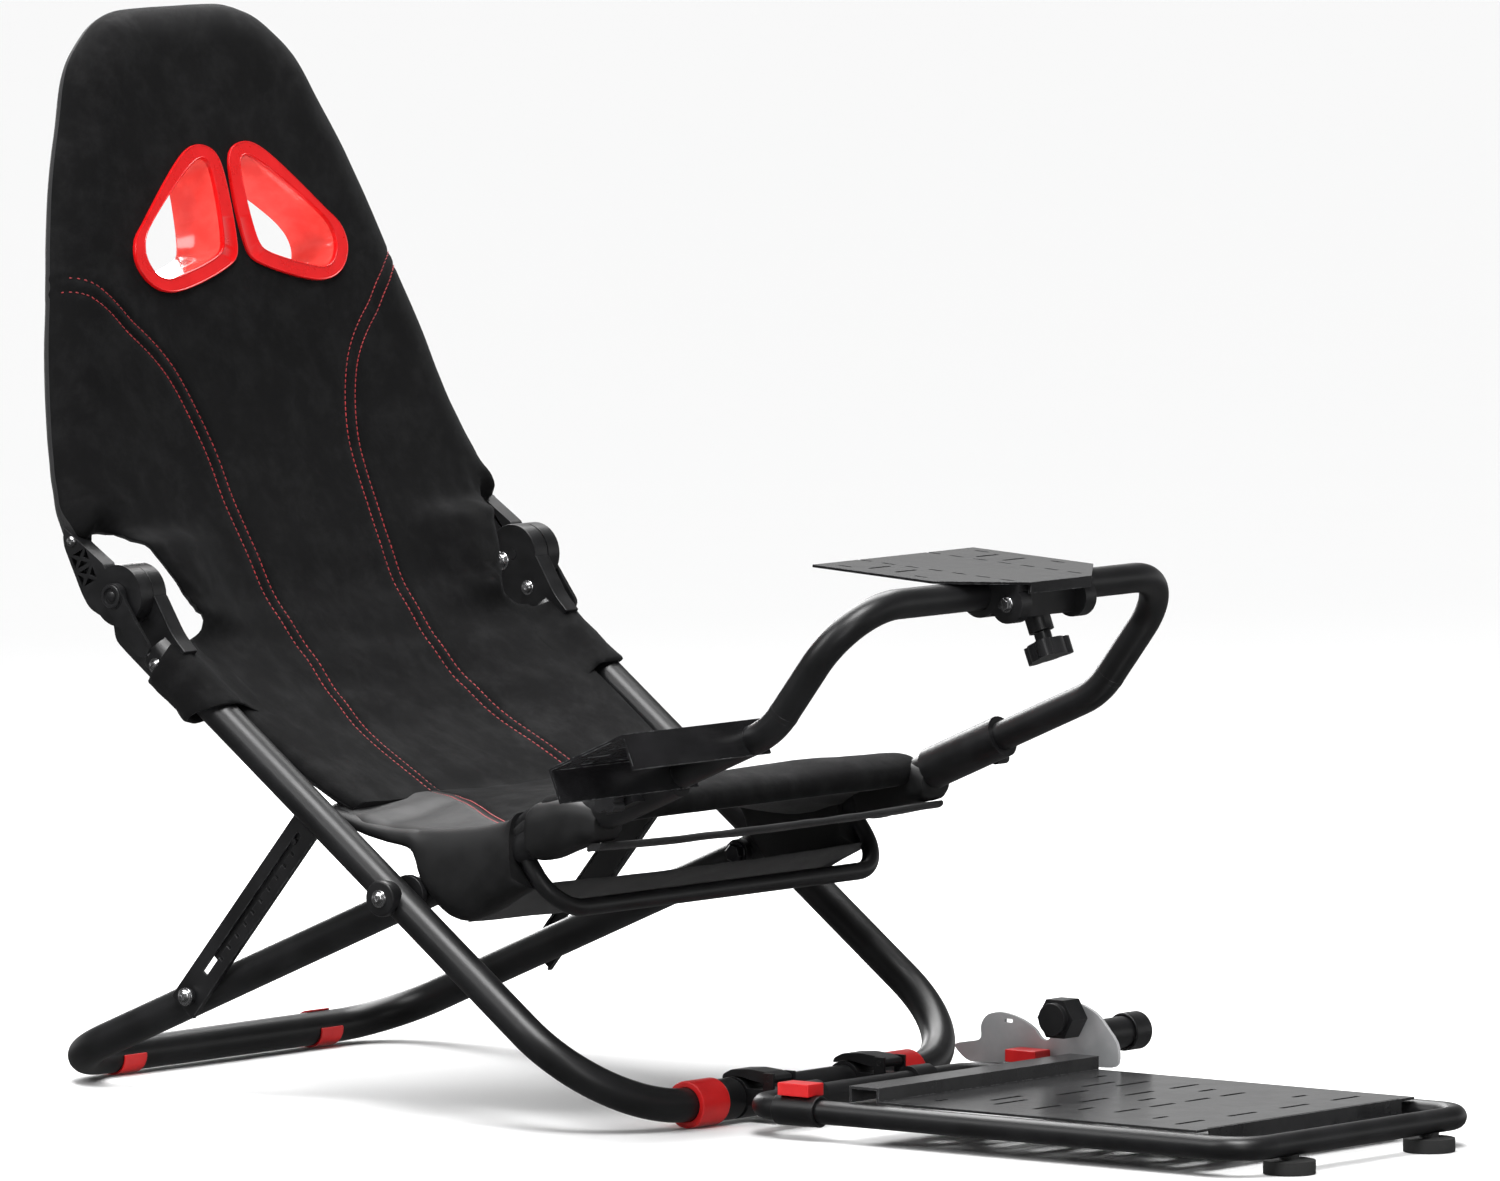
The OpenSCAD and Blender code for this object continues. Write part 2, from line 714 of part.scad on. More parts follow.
// Six-sided outline, d across its flats
module hexagon(d) {
  polygon([for (i = [0:5]) d / sqrt(3) * [cos(60 * i), sin(60 * i)]]);
}

module ear_knob() {
  color([0.05, 0.05, 0.05]) place() translate([ped_x0 + 107, 0, 86]) {
    rod_y(0, ear_y - 13, 0, 22, 8);
    translate([0, ear_y - 11, 0]) rotate([90, 0, 0]) linear_extrude(24) hexagon(36);
    rod_y(0, ear_y - 41, 0, 8, 30);
  }
}

// A clip lever's outline, drawn from its pin: a finger tab that arches over the ground tube's band
lever_edge = [[-57, -4], [-56, 1], [-46, 6], [-26, 7.5], [-6, 6], [5, 3], [5, -4], [-6, -5], [-22, -3],
  [-32, -0.8], [-43, 0], [-50, -1.2]];

module clip_lever(s) {
  color([0.03, 0.03, 0.03]) place() translate([front_x + clip_pin_x, s * 84, front_z + clip_pin_h]) {
    rod_y(0, -17, 0, 34, 5);
    plate_xz(rounded(lever_edge, 3), -13.5, 27);
  }
}

module clip_lever_near() {
  clip_lever(-1);
}

module clip_lever_far() {
  clip_lever(1);
}

rear_leg_frame();
seat_brace();
seat_cushion();
rear_foot_clips();
pivot_spacers();
arm_sleeves();
front_leg_frame();
hinge_lower_brackets();
lower_back_sling();
ground_collars();
tube_couplers();
tube_clips();
hinge_upper_brackets();
backrest_cushion();
bezel_near();
bezel_far();
recline_lever_near();
recline_lever_far();
strut_channel_near();
strut_channel_far();
strut_bar_near();
strut_bar_far();
steering_arm();
shifter_bracket();
wheel_plate();
plate_clamp();
plate_knob();
sleeve_knob_near();
sleeve_knob_far();
pedal_frame();
pedal_plate();
lock_saddles();
lock_tabs();
ear_plate();
side_tube();
side_tube_cap();
level_feet();
ear_knob();
clip_lever_near();
clip_lever_far();
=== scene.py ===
"""Looks of a folding sim racing cockpit: sling seat, crossed tube frames, wheel stand and pedal deck.

Sizes are in millimetres from the axis of the rear ground tube, X forward, Y to the sitter's left, Z up.
The function `at` moves them to the part's own frame, in metres.
"""

import itertools
import json
import logging
import math
from dataclasses import dataclass, field
from enum import Enum
from typing import Callable, Sequence

import bmesh
import bpy
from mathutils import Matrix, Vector, noise
from mathutils.geometry import delaunay_2d_cdt

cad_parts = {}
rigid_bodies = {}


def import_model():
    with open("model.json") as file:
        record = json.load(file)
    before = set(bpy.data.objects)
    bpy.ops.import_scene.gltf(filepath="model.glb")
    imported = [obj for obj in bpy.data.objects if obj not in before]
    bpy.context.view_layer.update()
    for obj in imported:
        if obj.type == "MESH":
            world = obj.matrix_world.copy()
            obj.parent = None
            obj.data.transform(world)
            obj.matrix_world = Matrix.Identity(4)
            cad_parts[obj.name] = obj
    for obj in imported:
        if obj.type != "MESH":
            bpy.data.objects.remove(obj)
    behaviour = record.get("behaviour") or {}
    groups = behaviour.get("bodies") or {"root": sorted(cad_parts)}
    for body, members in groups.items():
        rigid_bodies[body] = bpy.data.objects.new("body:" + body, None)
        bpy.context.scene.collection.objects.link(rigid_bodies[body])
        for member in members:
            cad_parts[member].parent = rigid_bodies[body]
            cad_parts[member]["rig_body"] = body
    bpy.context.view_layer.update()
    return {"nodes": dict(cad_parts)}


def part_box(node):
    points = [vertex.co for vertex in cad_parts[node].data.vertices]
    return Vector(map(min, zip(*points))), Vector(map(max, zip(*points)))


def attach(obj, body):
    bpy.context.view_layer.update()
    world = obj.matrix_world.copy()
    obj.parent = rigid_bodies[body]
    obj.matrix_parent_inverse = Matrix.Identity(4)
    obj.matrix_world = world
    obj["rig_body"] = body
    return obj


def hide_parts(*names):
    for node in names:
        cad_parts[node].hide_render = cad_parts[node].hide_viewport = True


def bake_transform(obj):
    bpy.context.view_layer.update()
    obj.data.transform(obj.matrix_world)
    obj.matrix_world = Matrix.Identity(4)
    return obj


LOG = logging.getLogger("cockpit")
# Angle in degrees under which edges are shaded smooth, and seed of the scattered copies
SMOOTH = 40.0
SEED = 7
Point2 = tuple[float, float]
Point3 = tuple[float, float, float]

# The part's own origin, seen from the rear ground tube
ORIGIN_X, ORIGIN_Y = 644.5, -55.0
# Places and slopes shared by several pieces, as in the part's source
LEG_D = 32.0
REAR_HALF, REAR_TILT, REAR_Z = 248.0, 23.0, 18.0
FRONT_HALF, FRONT_TILT, FRONT_Z = 287.0, 36.9, 22.0
FRONT_X = 699.08
CROSS_X, CROSS_Z = 450.0, 209.01
HINGE_X, HINGE_Z = 135.96, 474.01
# Lean of the backrest, and how far behind the hinges its middle plane starts
BACK_LEAN, BACK_SETBACK = 14.7, 53.5
BAR_X, BAR_Z = 953.08, 500.51
PLATE_TILT = 3.3


def at(x: float, y: float, z: float) -> Vector:
    """A point in millimetres from the rear ground tube, as metres in the part's frame."""
    return Vector(((x - ORIGIN_X) / 1000, (y - ORIGIN_Y) / 1000, z / 1000))


def unit(degrees: float) -> Point2:
    """Cosine and sine of an angle in degrees."""
    return math.cos(math.radians(degrees)), math.sin(math.radians(degrees))


def on_front_leg(u: float, side: int, across: float = 0.0, up: float = 0.0) -> Vector:
    """A point `u` up a front leg's axis from the front ground tube.

    Args:
        u: Distance along the leg from the ground tube's axis.
        side: -1 for the near leg, 1 for the far leg.
        across: Distance outwards from the leg's axis.
        up: Distance square to the leg, upwards.

    Returns:
        The point in millimetres.
    """
    c, s = unit(FRONT_TILT)
    return Vector((FRONT_X - u * c + up * s, side * (FRONT_HALF + across), FRONT_Z + u * s + up * c))


def on_back(y: float, s: float, n: float) -> Vector:
    """A point in the backrest's own plane: `s` up its lean from the hinges, `n` forward of its middle."""
    c, sn = unit(BACK_LEAN)
    return Vector((HINGE_X - BACK_SETBACK - s * sn + n * c, y, HINGE_Z + s * c + n * sn))


def on_bar(x: float, y: float, z: float) -> Vector:
    """A point in the wheel plate's own frame, whose origin is the middle of the arm's cross bar."""
    c, s = unit(PLATE_TILT)
    return Vector((BAR_X + x * c + z * s, y, BAR_Z - x * s + z * c))


def smooth_line(points: Sequence[Sequence[float]], step: float, closed: bool = False) -> list[Vector]:
    """Runs a rounded curve through points and returns it cut into even steps.

    Args:
        points: The points that the curve passes through.
        step: Distance between the returned points.
        closed: Whether the curve comes back to its first point.

    Returns:
        Evenly spaced points along the curve.
    """
    pts = [Vector(p) for p in points]
    n = len(pts)
    fine: list[Vector] = []
    for i in range(n if closed else n - 1):
        a, b, c, d = (pts[(i + k) % n] if closed else pts[min(max(i + k, 0), n - 1)] for k in (-1, 0, 1, 2))
        la, lb, lc = (max((q - p).length, 1e-3) ** 0.5 for p, q in ((a, b), (b, c), (c, d)))
        m1 = (c - b) + lb * ((b - a) / la - (c - a) / (la + lb)) if la > 0.04 else c - b
        m2 = (c - b) + lb * ((d - c) / lc - (d - b) / (lb + lc)) if lc > 0.04 else c - b
        for k in range(12):
            t = k / 12
            h = (2 * t**3 - 3 * t**2 + 1, t**3 - 2 * t**2 + t, -2 * t**3 + 3 * t**2, t**3 - t**2)
            fine.append(b * h[0] + m1 * h[1] + c * h[2] + m2 * h[3])
    fine.append(pts[0] if closed else pts[-1])
    return even_steps(fine, step, closed)


def even_steps(line: list[Vector], step: float, closed: bool = False) -> list[Vector]:
    """Cuts a polyline into steps as even as its length allows.

    Args:
        line: The points of the polyline.
        step: Distance wanted between the returned points.
        closed: Whether the last point is left off, because the line comes back to its first.

    Returns:
        The evenly spaced points.
    """
    lengths = [0.0]
    for p, q in zip(line, line[1:]):
        lengths.append(lengths[-1] + (q - p).length)
    count = max(2, round(lengths[-1] / step))
    out: list[Vector] = []
    j = 0
    for i in range(count if closed else count + 1):
        target = lengths[-1] * i / count
        while j < len(line) - 2 and lengths[j + 1] < target:
            j += 1
        span = lengths[j + 1] - lengths[j] or 1.0
        out.append(line[j].lerp(line[j + 1], min(max((target - lengths[j]) / span, 0.0), 1.0)))
    return out


def table(rows: Sequence[Point2], x: float) -> float:
    """Reads a value between the rows of a table, smoothly.

    Args:
        rows: Pairs of place and value, in rising order of place.
        x: The place to read.

    Returns:
        The value there, and past the ends the nearest one.
    """
    if x <= rows[0][0]:
        return rows[0][1]
    for (x0, y0), (x1, y1) in zip(rows, rows[1:]):
        if x <= x1:
            t = (x - x0) / (x1 - x0)
            return y0 + (y1 - y0) * t * t * (3 - 2 * t)
    return rows[-1][1]



class Side(Enum):
    """Which side of the cockpit a piece is on."""

    NEAR = -1
    FAR = 1


class NodeSheet:
    """A node tree with short calls to add and link nodes."""

    def __init__(self, tree: bpy.types.NodeTree) -> None:
        """Starts on an empty tree."""
        self.tree = tree
        tree.nodes.clear()

    def add(self, kind: str, settings: dict | None = None, **inputs: object) -> bpy.types.Node:
        """Adds a node, sets its properties and fills or links its inputs.

        Args:
            kind: Blender's node type.
            settings: Node properties by name.
            **inputs: Values or sockets by input name, with underscores for spaces, or _0, _1 by place.

        Returns:
            The new node.
        """
        node = self.tree.nodes.new(kind)
        for key, value in (settings or {}).items():
            setattr(node, key, value)
        self.fill(node, **inputs)
        return node

    def fill(self, node: bpy.types.Node, **inputs: object) -> None:
        """Fills or links a node's inputs, named as in `add`.

        Args:
            node: The node.
            **inputs: Values or sockets by input name.
        """
        for key, value in inputs.items():
            name = key[1:] if key[0] == "_" else key.replace("_", " ")
            socket = node.inputs[int(name)] if name.isdigit() else node.inputs[name]
            if isinstance(value, bpy.types.NodeSocket):
                self.tree.links.new(value, socket)
            else:
                socket.default_value = value

    def here(self) -> bpy.types.NodeSocket:
        """Adds the object's own coordinates."""
        return self.add("ShaderNodeTexCoord").outputs["Object"]

    def math(self, operation: str, a: object, b: object = 0.0, clamp: bool = False) -> bpy.types.NodeSocket:
        """Adds a Math node and returns its output."""
        return self.add("ShaderNodeMath", {"operation": operation, "use_clamp": clamp}, _0=a, _1=b).outputs[0]

    def noise(self, vector: object, scale: object, detail: float = 3.0, rough: float = 0.5) -> bpy.types.NodeSocket:
        """Adds a Noise Texture and returns its value."""
        return self.add("ShaderNodeTexNoise", None, Vector=vector, Scale=scale, Detail=detail,
                        Roughness=rough).outputs[0]

    def ramp(self, value: object, low: float, high: float, to_low: float = 0.0, to_high: float = 1.0,
             smooth: bool = True) -> bpy.types.NodeSocket:
        """Maps a range of a value to another range, clamped.

        Args:
            value: The value to map.
            low: Start of its range.
            high: End of its range.
            to_low: What the start becomes.
            to_high: What the end becomes.
            smooth: Whether the ends are eased.

        Returns:
            The mapped value.
        """
        kind = "SMOOTHSTEP" if smooth else "LINEAR"
        return self.add("ShaderNodeMapRange", {"interpolation_type": kind}, _0=value, _1=low, _2=high, _3=to_low,
                        _4=to_high).outputs[0]

    def mix(self, a: object, b: object, factor: object) -> bpy.types.NodeSocket:
        """Mixes two colours."""
        return self.add("ShaderNodeMix", {"data_type": "RGBA"}, _0=factor, _6=a, _7=b).outputs[2]


Filler = Callable[[NodeSheet, bpy.types.Node], dict[str, bpy.types.NodeSocket]]
TreeMaker = Callable[[], bpy.types.NodeTree]


def shader_group(inputs: dict[str, float], outputs: Sequence[str]) -> Callable[[Filler], TreeMaker]:
    """Turns a function that fills a sheet into one that returns its shader node group, built on first use.

    Args:
        inputs: The group's number inputs with their default values.
        outputs: Names of its value outputs.

    Returns:
        The decorator. The group takes the name of the function.
    """

    def wrap(fill: Filler) -> TreeMaker:
        """Keeps the function that fills the group.

        Args:
            fill: The function that fills the group.

        Returns:
            A function that returns the tree.
        """

        def tree() -> bpy.types.NodeTree:
            """The group's tree.

            Returns:
                The tree, built on first use.
            """
            found = bpy.data.node_groups.get(fill.__name__)
            if found:
                return found
            made = bpy.data.node_groups.new(fill.__name__, "ShaderNodeTree")
            sheet = NodeSheet(made)
            for key, value in inputs.items():
                socket = made.interface.new_socket(key, in_out="INPUT", socket_type="NodeSocketFloat")
                socket.default_value = value
            for key in outputs:
                made.interface.new_socket(key, in_out="OUTPUT", socket_type="NodeSocketFloat")
            sockets = fill(sheet, sheet.add("NodeGroupInput"))
            end = sheet.add("NodeGroupOutput")
            for key, socket in sockets.items():
                made.links.new(socket, end.inputs[key])
            return made

        return tree

    return wrap


@shader_group({"Scale": 900.0, "Mottle Scale": 22.0}, ("Height", "Mottle"))
def fine_grain(sheet: NodeSheet, start: bpy.types.Node) -> dict[str, bpy.types.NodeSocket]:
    """Small bumps of a sprayed or moulded surface: a height, and a slow mottle.

    Args:
        sheet: The sheet that takes the nodes.
        start: The group's input node, whose sockets are its named inputs.

    Returns:
        The socket of each output.
    """
    place = sheet.here()
    fine = sheet.noise(place, start.outputs["Scale"], 2.0, 0.55)
    slow = sheet.noise(place, start.outputs["Mottle Scale"], 4.0, 0.6)
    return {"Height": fine, "Mottle": sheet.ramp(slow, 0.35, 0.68)}


@shader_group({"Width": 0.0012, "Amount": 1.0}, ("Mask",))
def edge_wear(sheet: NodeSheet, start: bpy.types.Node) -> dict[str, bpy.types.NodeSocket]:
    """Where edges are lightened as a painted highlight: a mask from the rounded normal, broken up by noise.

    Args:
        sheet: The sheet that takes the nodes.
        start: The group's input node, whose sockets are its named inputs.

    Returns:
        The socket of each output.
    """
    place = sheet.here()
    round_n = sheet.add("ShaderNodeBevel", {"samples": 4}, Radius=start.outputs["Width"]).outputs[0]
    true_n = sheet.add("ShaderNodeNewGeometry").outputs["Normal"]
    dot = sheet.add("ShaderNodeVectorMath", {"operation": "DOT_PRODUCT"}, _0=round_n, _1=true_n).outputs["Value"]
    edge = sheet.ramp(dot, 0.99, 0.86)
    broken = sheet.ramp(sheet.noise(place, 140.0, 5.0, 0.65), 0.42, 0.62)
    return {"Mask": sheet.math("MULTIPLY", sheet.math("MULTIPLY", edge, broken), start.outputs["Amount"])}


@shader_group({"Amount": 0.05}, ("Mask",))
def settled_dust(sheet: NodeSheet, start: bpy.types.Node) -> dict[str, bpy.types.NodeSocket]:
    """A trace of dust on faces that look up.

    Args:
        sheet: The sheet that takes the nodes.
        start: The group's input node, whose sockets are its named inputs.

    Returns:
        The socket of each output.
    """
    place = sheet.here()
    normal = sheet.add("ShaderNodeNewGeometry").outputs["Normal"]
    up = sheet.add("ShaderNodeSeparateXYZ", None, Vector=normal).outputs["Z"]
    cloud = sheet.ramp(sheet.noise(place, 60.0, 6.0, 0.7), 0.45, 0.8)
    return {"Mask": sheet.math("MULTIPLY", sheet.math("MULTIPLY", sheet.ramp(up, 0.35, 1.0), cloud),
                               start.outputs["Amount"])}


@shader_group({"Patch Scale": 24.0, "Fibre Scale": 1500.0}, ("Patches", "Fibres", "Height"))
def suede_nap(sheet: NodeSheet, start: bpy.types.Node) -> dict[str, bpy.types.NodeSocket]:
    """Brushed nap of suede: soft patches, short fibres and a height.

    Args:
        sheet: The sheet that takes the nodes.
        start: The group's input node, whose sockets are its named inputs.

    Returns:
        The socket of each output.
    """
    place = sheet.here()
    bend = sheet.add("ShaderNodeTexNoise", None, Vector=place, Scale=9.0, Detail=3.0).outputs["Color"]
    pushed = sheet.add("ShaderNodeVectorMath", {"operation": "MULTIPLY_ADD"}, _0=bend, _1=(0.05, 0.05, 0.05),
                       _2=place).outputs[0]
    patches = sheet.ramp(sheet.noise(pushed, start.outputs["Patch Scale"], 6.0, 0.68), 0.40, 0.72)
    fibres = sheet.noise(place, start.outputs["Fibre Scale"], 4.0, 0.75)
    height = sheet.math("MULTIPLY_ADD", patches, 0.35)
    height.node.inputs[2].default_value = 0.0
    both = sheet.math("ADD", height, fibres)
    return {"Patches": patches, "Fibres": sheet.ramp(fibres, 0.3, 0.7), "Height": both}


@shader_group({"Yarns per Metre": 900.0}, ("Height", "Yarns"))
def plain_weave(sheet: NodeSheet, start: bpy.types.Node) -> dict[str, bpy.types.NodeSocket]:
    """Crossed yarns of a woven cloth, on the object's own axes.

    Args:
        sheet: The sheet that takes the nodes.
        start: The group's input node, whose sockets are its named inputs.

    Returns:
        The socket of each output.
    """
    place = sheet.here()
    axes = sheet.add("ShaderNodeSeparateXYZ", None, Vector=place)
    along = sheet.math("ADD", axes.outputs["X"], axes.outputs["Z"])
    waves = []
    for value in (axes.outputs["Y"], along):
        turned = sheet.math("MULTIPLY", value, start.outputs["Yarns per Metre"])
        waves.append(sheet.math("SINE", sheet.math("MULTIPLY", turned, 2 * math.pi)))
    cross = sheet.math("MULTIPLY", waves[0], waves[1])
    soft = sheet.noise(place, 400.0, 3.0, 0.6)
    height = sheet.math("ADD", sheet.math("MULTIPLY", cross, 0.5), soft)
    return {"Height": height, "Yarns": sheet.ramp(cross, -0.7, 0.7)}


@shader_group({"Scale": 1400.0}, ("Height", "Cloud"))
def hairlines(sheet: NodeSheet, start: bpy.types.Node) -> dict[str, bpy.types.NodeSocket]:
    """Fine scratches of rolled or turned metal.

    Args:
        sheet: The sheet that takes the nodes.
        start: The group's input node, whose sockets are its named inputs.

    Returns:
        The socket of each output.
    """
    place = sheet.here()
    long = sheet.add("ShaderNodeVectorMath", {"operation": "MULTIPLY"}, _0=place, _1=(1.0, 1.0, 0.06)).outputs[0]
    lines = sheet.noise(long, start.outputs["Scale"], 4.0, 0.7)
    cloud = sheet.noise(place, 45.0, 4.0, 0.6)
    return {"Height": lines, "Cloud": sheet.ramp(cloud, 0.35, 0.7)}


Colour = tuple[float, float, float]


@dataclass(frozen=True)
class Finish:
    """A surface finish. Its material is made once and shared by the pieces that wear it."""

    name: str
    colour: Colour
    second: Colour
    rough: float = 0.5

    def material(self) -> bpy.types.Material:
        """The finish as a material, made on first use.

        Returns:
            The material, shared by all pieces that wear the finish.
        """
        found = bpy.data.materials.get(self.name)
        if found:
            return found
        made = bpy.data.materials.new(self.name)
        made.use_nodes = True
        sheet = NodeSheet(made.node_tree)
        shader = sheet.add("ShaderNodeBsdfPrincipled")
        end = sheet.add("ShaderNodeOutputMaterial")
        made.node_tree.links.new(shader.outputs[0], end.inputs[0])
        self.dress(sheet, shader)
        made.diffuse_color = (*self.colour, 1.0)
        return made

    def dress(self, sheet: NodeSheet, shader: bpy.types.Node) -> None:
        """Adds the finish's own nodes. Each kind of finish has its own."""

    def tone(self, sheet: NodeSheet, factor: object) -> bpy.types.NodeSocket:
        """Mixes the finish's two colours."""
        return sheet.mix((*self.colour, 1), (*self.second, 1), factor)

    @staticmethod
    def place(sheet: NodeSheet, tree: TreeMaker, **inputs: object) -> bpy.types.bpy_prop_collection:
        """Places a node group in the material with its own values and returns its outputs."""
        return sheet.add("ShaderNodeGroup", {"node_tree": tree()}, **inputs).outputs

    def bump(self, sheet: NodeSheet, shader: bpy.types.Node, height: object, strength: float, deep: float) -> None:
        """Feeds a height to the shader's normal through a Bump node."""
        node = sheet.add("ShaderNodeBump", None, Strength=strength, Distance=deep, Height=height)
        sheet.fill(shader, Normal=node.outputs[0])


@dataclass(frozen=True)
class SprayedSteel(Finish):
    """Powder coat or paint on steel: an orange-peel bump, mottled gloss and lighter corners that are a painted edge
    highlight.
    """

    grain: float = 900.0
    grain_strength: float = 0.12
    # Strength of the lighter rounded corners, a painted edge highlight
    wear: float = 0.5
    dust: float = 0.04
    # Colour of the painted edge highlight on the corners
    bare: Colour = (0.16, 0.16, 0.165)
    coat: float = 0.0

    def dress(self, sheet: NodeSheet, shader: bpy.types.Node) -> None:
        """Adds grain, a painted edge highlight on the corners, and dust.

        Args:
            sheet: The sheet that takes the nodes.
            shader: The shader whose inputs are filled.
        """
        grain = self.place(sheet, fine_grain, Scale=self.grain, Mottle_Scale=18.0)
        # Rounded edges mixed towards a lighter colour: a painted edge highlight
        highlight_mask = self.place(sheet, edge_wear, Width=0.0011, Amount=self.wear)
        dust = self.place(sheet, settled_dust, Amount=self.dust)
        with_highlight = sheet.mix(self.tone(sheet, grain["Mottle"]), (*self.bare, 1), highlight_mask["Mask"])
        gloss = sheet.ramp(grain["Mottle"], 0.0, 1.0, self.rough - 0.015, self.rough + 0.02, False)
        sheet.fill(shader, Base_Color=sheet.mix(with_highlight, (0.32, 0.31, 0.3, 1), dust["Mask"]), Roughness=gloss,
                   Coat_Weight=self.coat, Coat_Roughness=0.2)
        self.bump(sheet, shader, grain["Height"], self.grain_strength, 0.0004)


@dataclass(frozen=True)
class BareMetal(Finish):
    """Plated or turned metal with hairlines and cloudy gloss."""

    scale: float = 1400.0

    def dress(self, sheet: NodeSheet, shader: bpy.types.Node) -> None:
        """Adds hairlines and a painted edge highlight.

        Args:
            sheet: The sheet that takes the nodes.
            shader: The shader whose inputs are filled.
        """
        lines = self.place(sheet, hairlines, Scale=self.scale)
        # Rounded edges mixed towards near-white: a painted edge highlight
        highlight_mask = self.place(sheet, edge_wear, Width=0.0008, Amount=0.6)
        bright = sheet.mix(self.tone(sheet, lines["Cloud"]), (0.85, 0.85, 0.86, 1), highlight_mask["Mask"])
        gloss = sheet.ramp(lines["Height"], 0.3, 0.7, self.rough - 0.06, self.rough + 0.1, False)
        sheet.fill(shader, Base_Color=bright, Roughness=gloss, Metallic=1.0)
        self.bump(sheet, shader, lines["Height"], 0.12, 0.0002)


@dataclass(frozen=True)
class MouldedPlastic(Finish):
    """Injection moulded plastic with a spark-eroded grain."""

    grain: float = 1600.0
    grain_strength: float = 0.3
    coat: float = 0.0
    # Strength of the lighter rounded corners, a painted edge highlight
    wear: float = 0.3

    def dress(self, sheet: NodeSheet, shader: bpy.types.Node) -> None:
        """Adds grain, lighter corners as a painted edge highlight, and dust.

        Args:
            sheet: The sheet that takes the nodes.
            shader: The shader whose inputs are filled.
        """
        grain = self.place(sheet, fine_grain, Scale=self.grain, Mottle_Scale=35.0)
        highlight_mask = self.place(sheet, edge_wear, Width=0.0009, Amount=self.wear)
        dust = self.place(sheet, settled_dust, Amount=0.03)
        # A paler colour on the rounded edges: a painted edge highlight
        plastic_highlight = tuple(min(1.0, c * 1.6 + 0.02) for c in self.second)
        with_highlight = sheet.mix(self.tone(sheet, grain["Mottle"]), (*plastic_highlight, 1), highlight_mask["Mask"])
        gloss = sheet.ramp(grain["Mottle"], 0.0, 1.0, self.rough - 0.03, self.rough + 0.04, False)
        sheet.fill(shader, Base_Color=sheet.mix(with_highlight, (0.35, 0.34, 0.33, 1), dust["Mask"]), Roughness=gloss,
                   Coat_Weight=self.coat, Coat_Roughness=0.08)
        self.bump(sheet, shader, grain["Height"], self.grain_strength, 0.00025)


@dataclass(frozen=True)
class Suede(Finish):
    """Brushed microsuede of the seat's middle."""

    sheen: float = 0.25

    def dress(self, sheet: NodeSheet, shader: bpy.types.Node) -> None:
        """Adds nap patches, fibres and sheen.

        Args:
            sheet: The sheet that takes the nodes.
            shader: The shader whose inputs are filled.
        """
        nap = self.place(sheet, suede_nap, Patch_Scale=26.0, Fibre_Scale=1500.0)
        dust = self.place(sheet, settled_dust, Amount=0.012)
        patches = sheet.math("MULTIPLY", nap["Patches"], 0.7)
        fibres = sheet.math("MULTIPLY_ADD", nap["Fibres"], 0.3)
        sheet.fill(fibres.node, _2=patches)
        gloss = sheet.ramp(nap["Patches"], 0.0, 1.0, self.rough + 0.03, self.rough - 0.08, False)
        sheet.fill(shader, Base_Color=sheet.mix(self.tone(sheet, fibres), (0.3, 0.3, 0.3, 1), dust["Mask"]),
                   Roughness=gloss, Specular_IOR_Level=0.12, Sheen_Weight=self.sheen, Sheen_Roughness=0.45,
                   Sheen_Tint=(0.7, 0.72, 0.75, 1))
        self.bump(sheet, shader, nap["Height"], 0.5, 0.0006)


@dataclass(frozen=True)
class WovenCloth(Finish):
    """Plain woven nylon of the side bands, sleeves and back."""

    yarns: float = 900.0
    sheen: float = 0.2

    def dress(self, sheet: NodeSheet, shader: bpy.types.Node) -> None:
        """Adds the weave.

        Args:
            sheet: The sheet that takes the nodes.
            shader: The shader whose inputs are filled.
        """
        weave = self.place(sheet, plain_weave, Yarns_per_Metre=self.yarns)
        nap = self.place(sheet, suede_nap, Patch_Scale=16.0, Fibre_Scale=700.0)
        brushed = sheet.mix(self.tone(sheet, weave["Yarns"]), (*self.second, 1), nap["Patches"])
        gloss = sheet.ramp(nap["Patches"], 0.0, 1.0, self.rough, self.rough - 0.12, False)
        sheet.fill(shader, Base_Color=brushed, Roughness=gloss, Sheen_Weight=self.sheen, Sheen_Roughness=0.35)
        self.bump(sheet, shader, weave["Height"], 0.45, 0.0004)


@dataclass(frozen=True)
class SewingThread(Finish):
    """Twisted thread of the visible stitches."""

    def dress(self, sheet: NodeSheet, shader: bpy.types.Node) -> None:
        """Adds the twist.

        Args:
            sheet: The sheet that takes the nodes.
            shader: The shader whose inputs are filled.
        """
        twist = self.place(sheet, fine_grain, Scale=2600.0, Mottle_Scale=120.0)
        gloss = sheet.ramp(twist["Height"], 0.3, 0.7, self.rough - 0.1, self.rough, False)
        sheet.fill(shader, Base_Color=self.tone(sheet, twist["Mottle"]), Roughness=gloss, Sheen_Weight=0.3)
        self.bump(sheet, shader, twist["Height"], 0.5, 0.0003)


# In the finishes below, the lighter rounded corners are a painted edge highlight.
POWDER = SprayedSteel("tube_powder_coat", (0.006, 0.006, 0.0065), (0.010, 0.010, 0.011), 0.39)
PLATE = SprayedSteel("plate_coat", (0.008, 0.008, 0.0085), (0.014, 0.014, 0.015), 0.2, grain=1200.0,
                     grain_strength=0.02, bare=(0.30, 0.30, 0.31))
DECK = SprayedSteel("deck_coat", (0.020, 0.020, 0.021), (0.032, 0.032, 0.033), 0.21, grain=1100.0,
                    grain_strength=0.02, bare=(0.30, 0.30, 0.31))
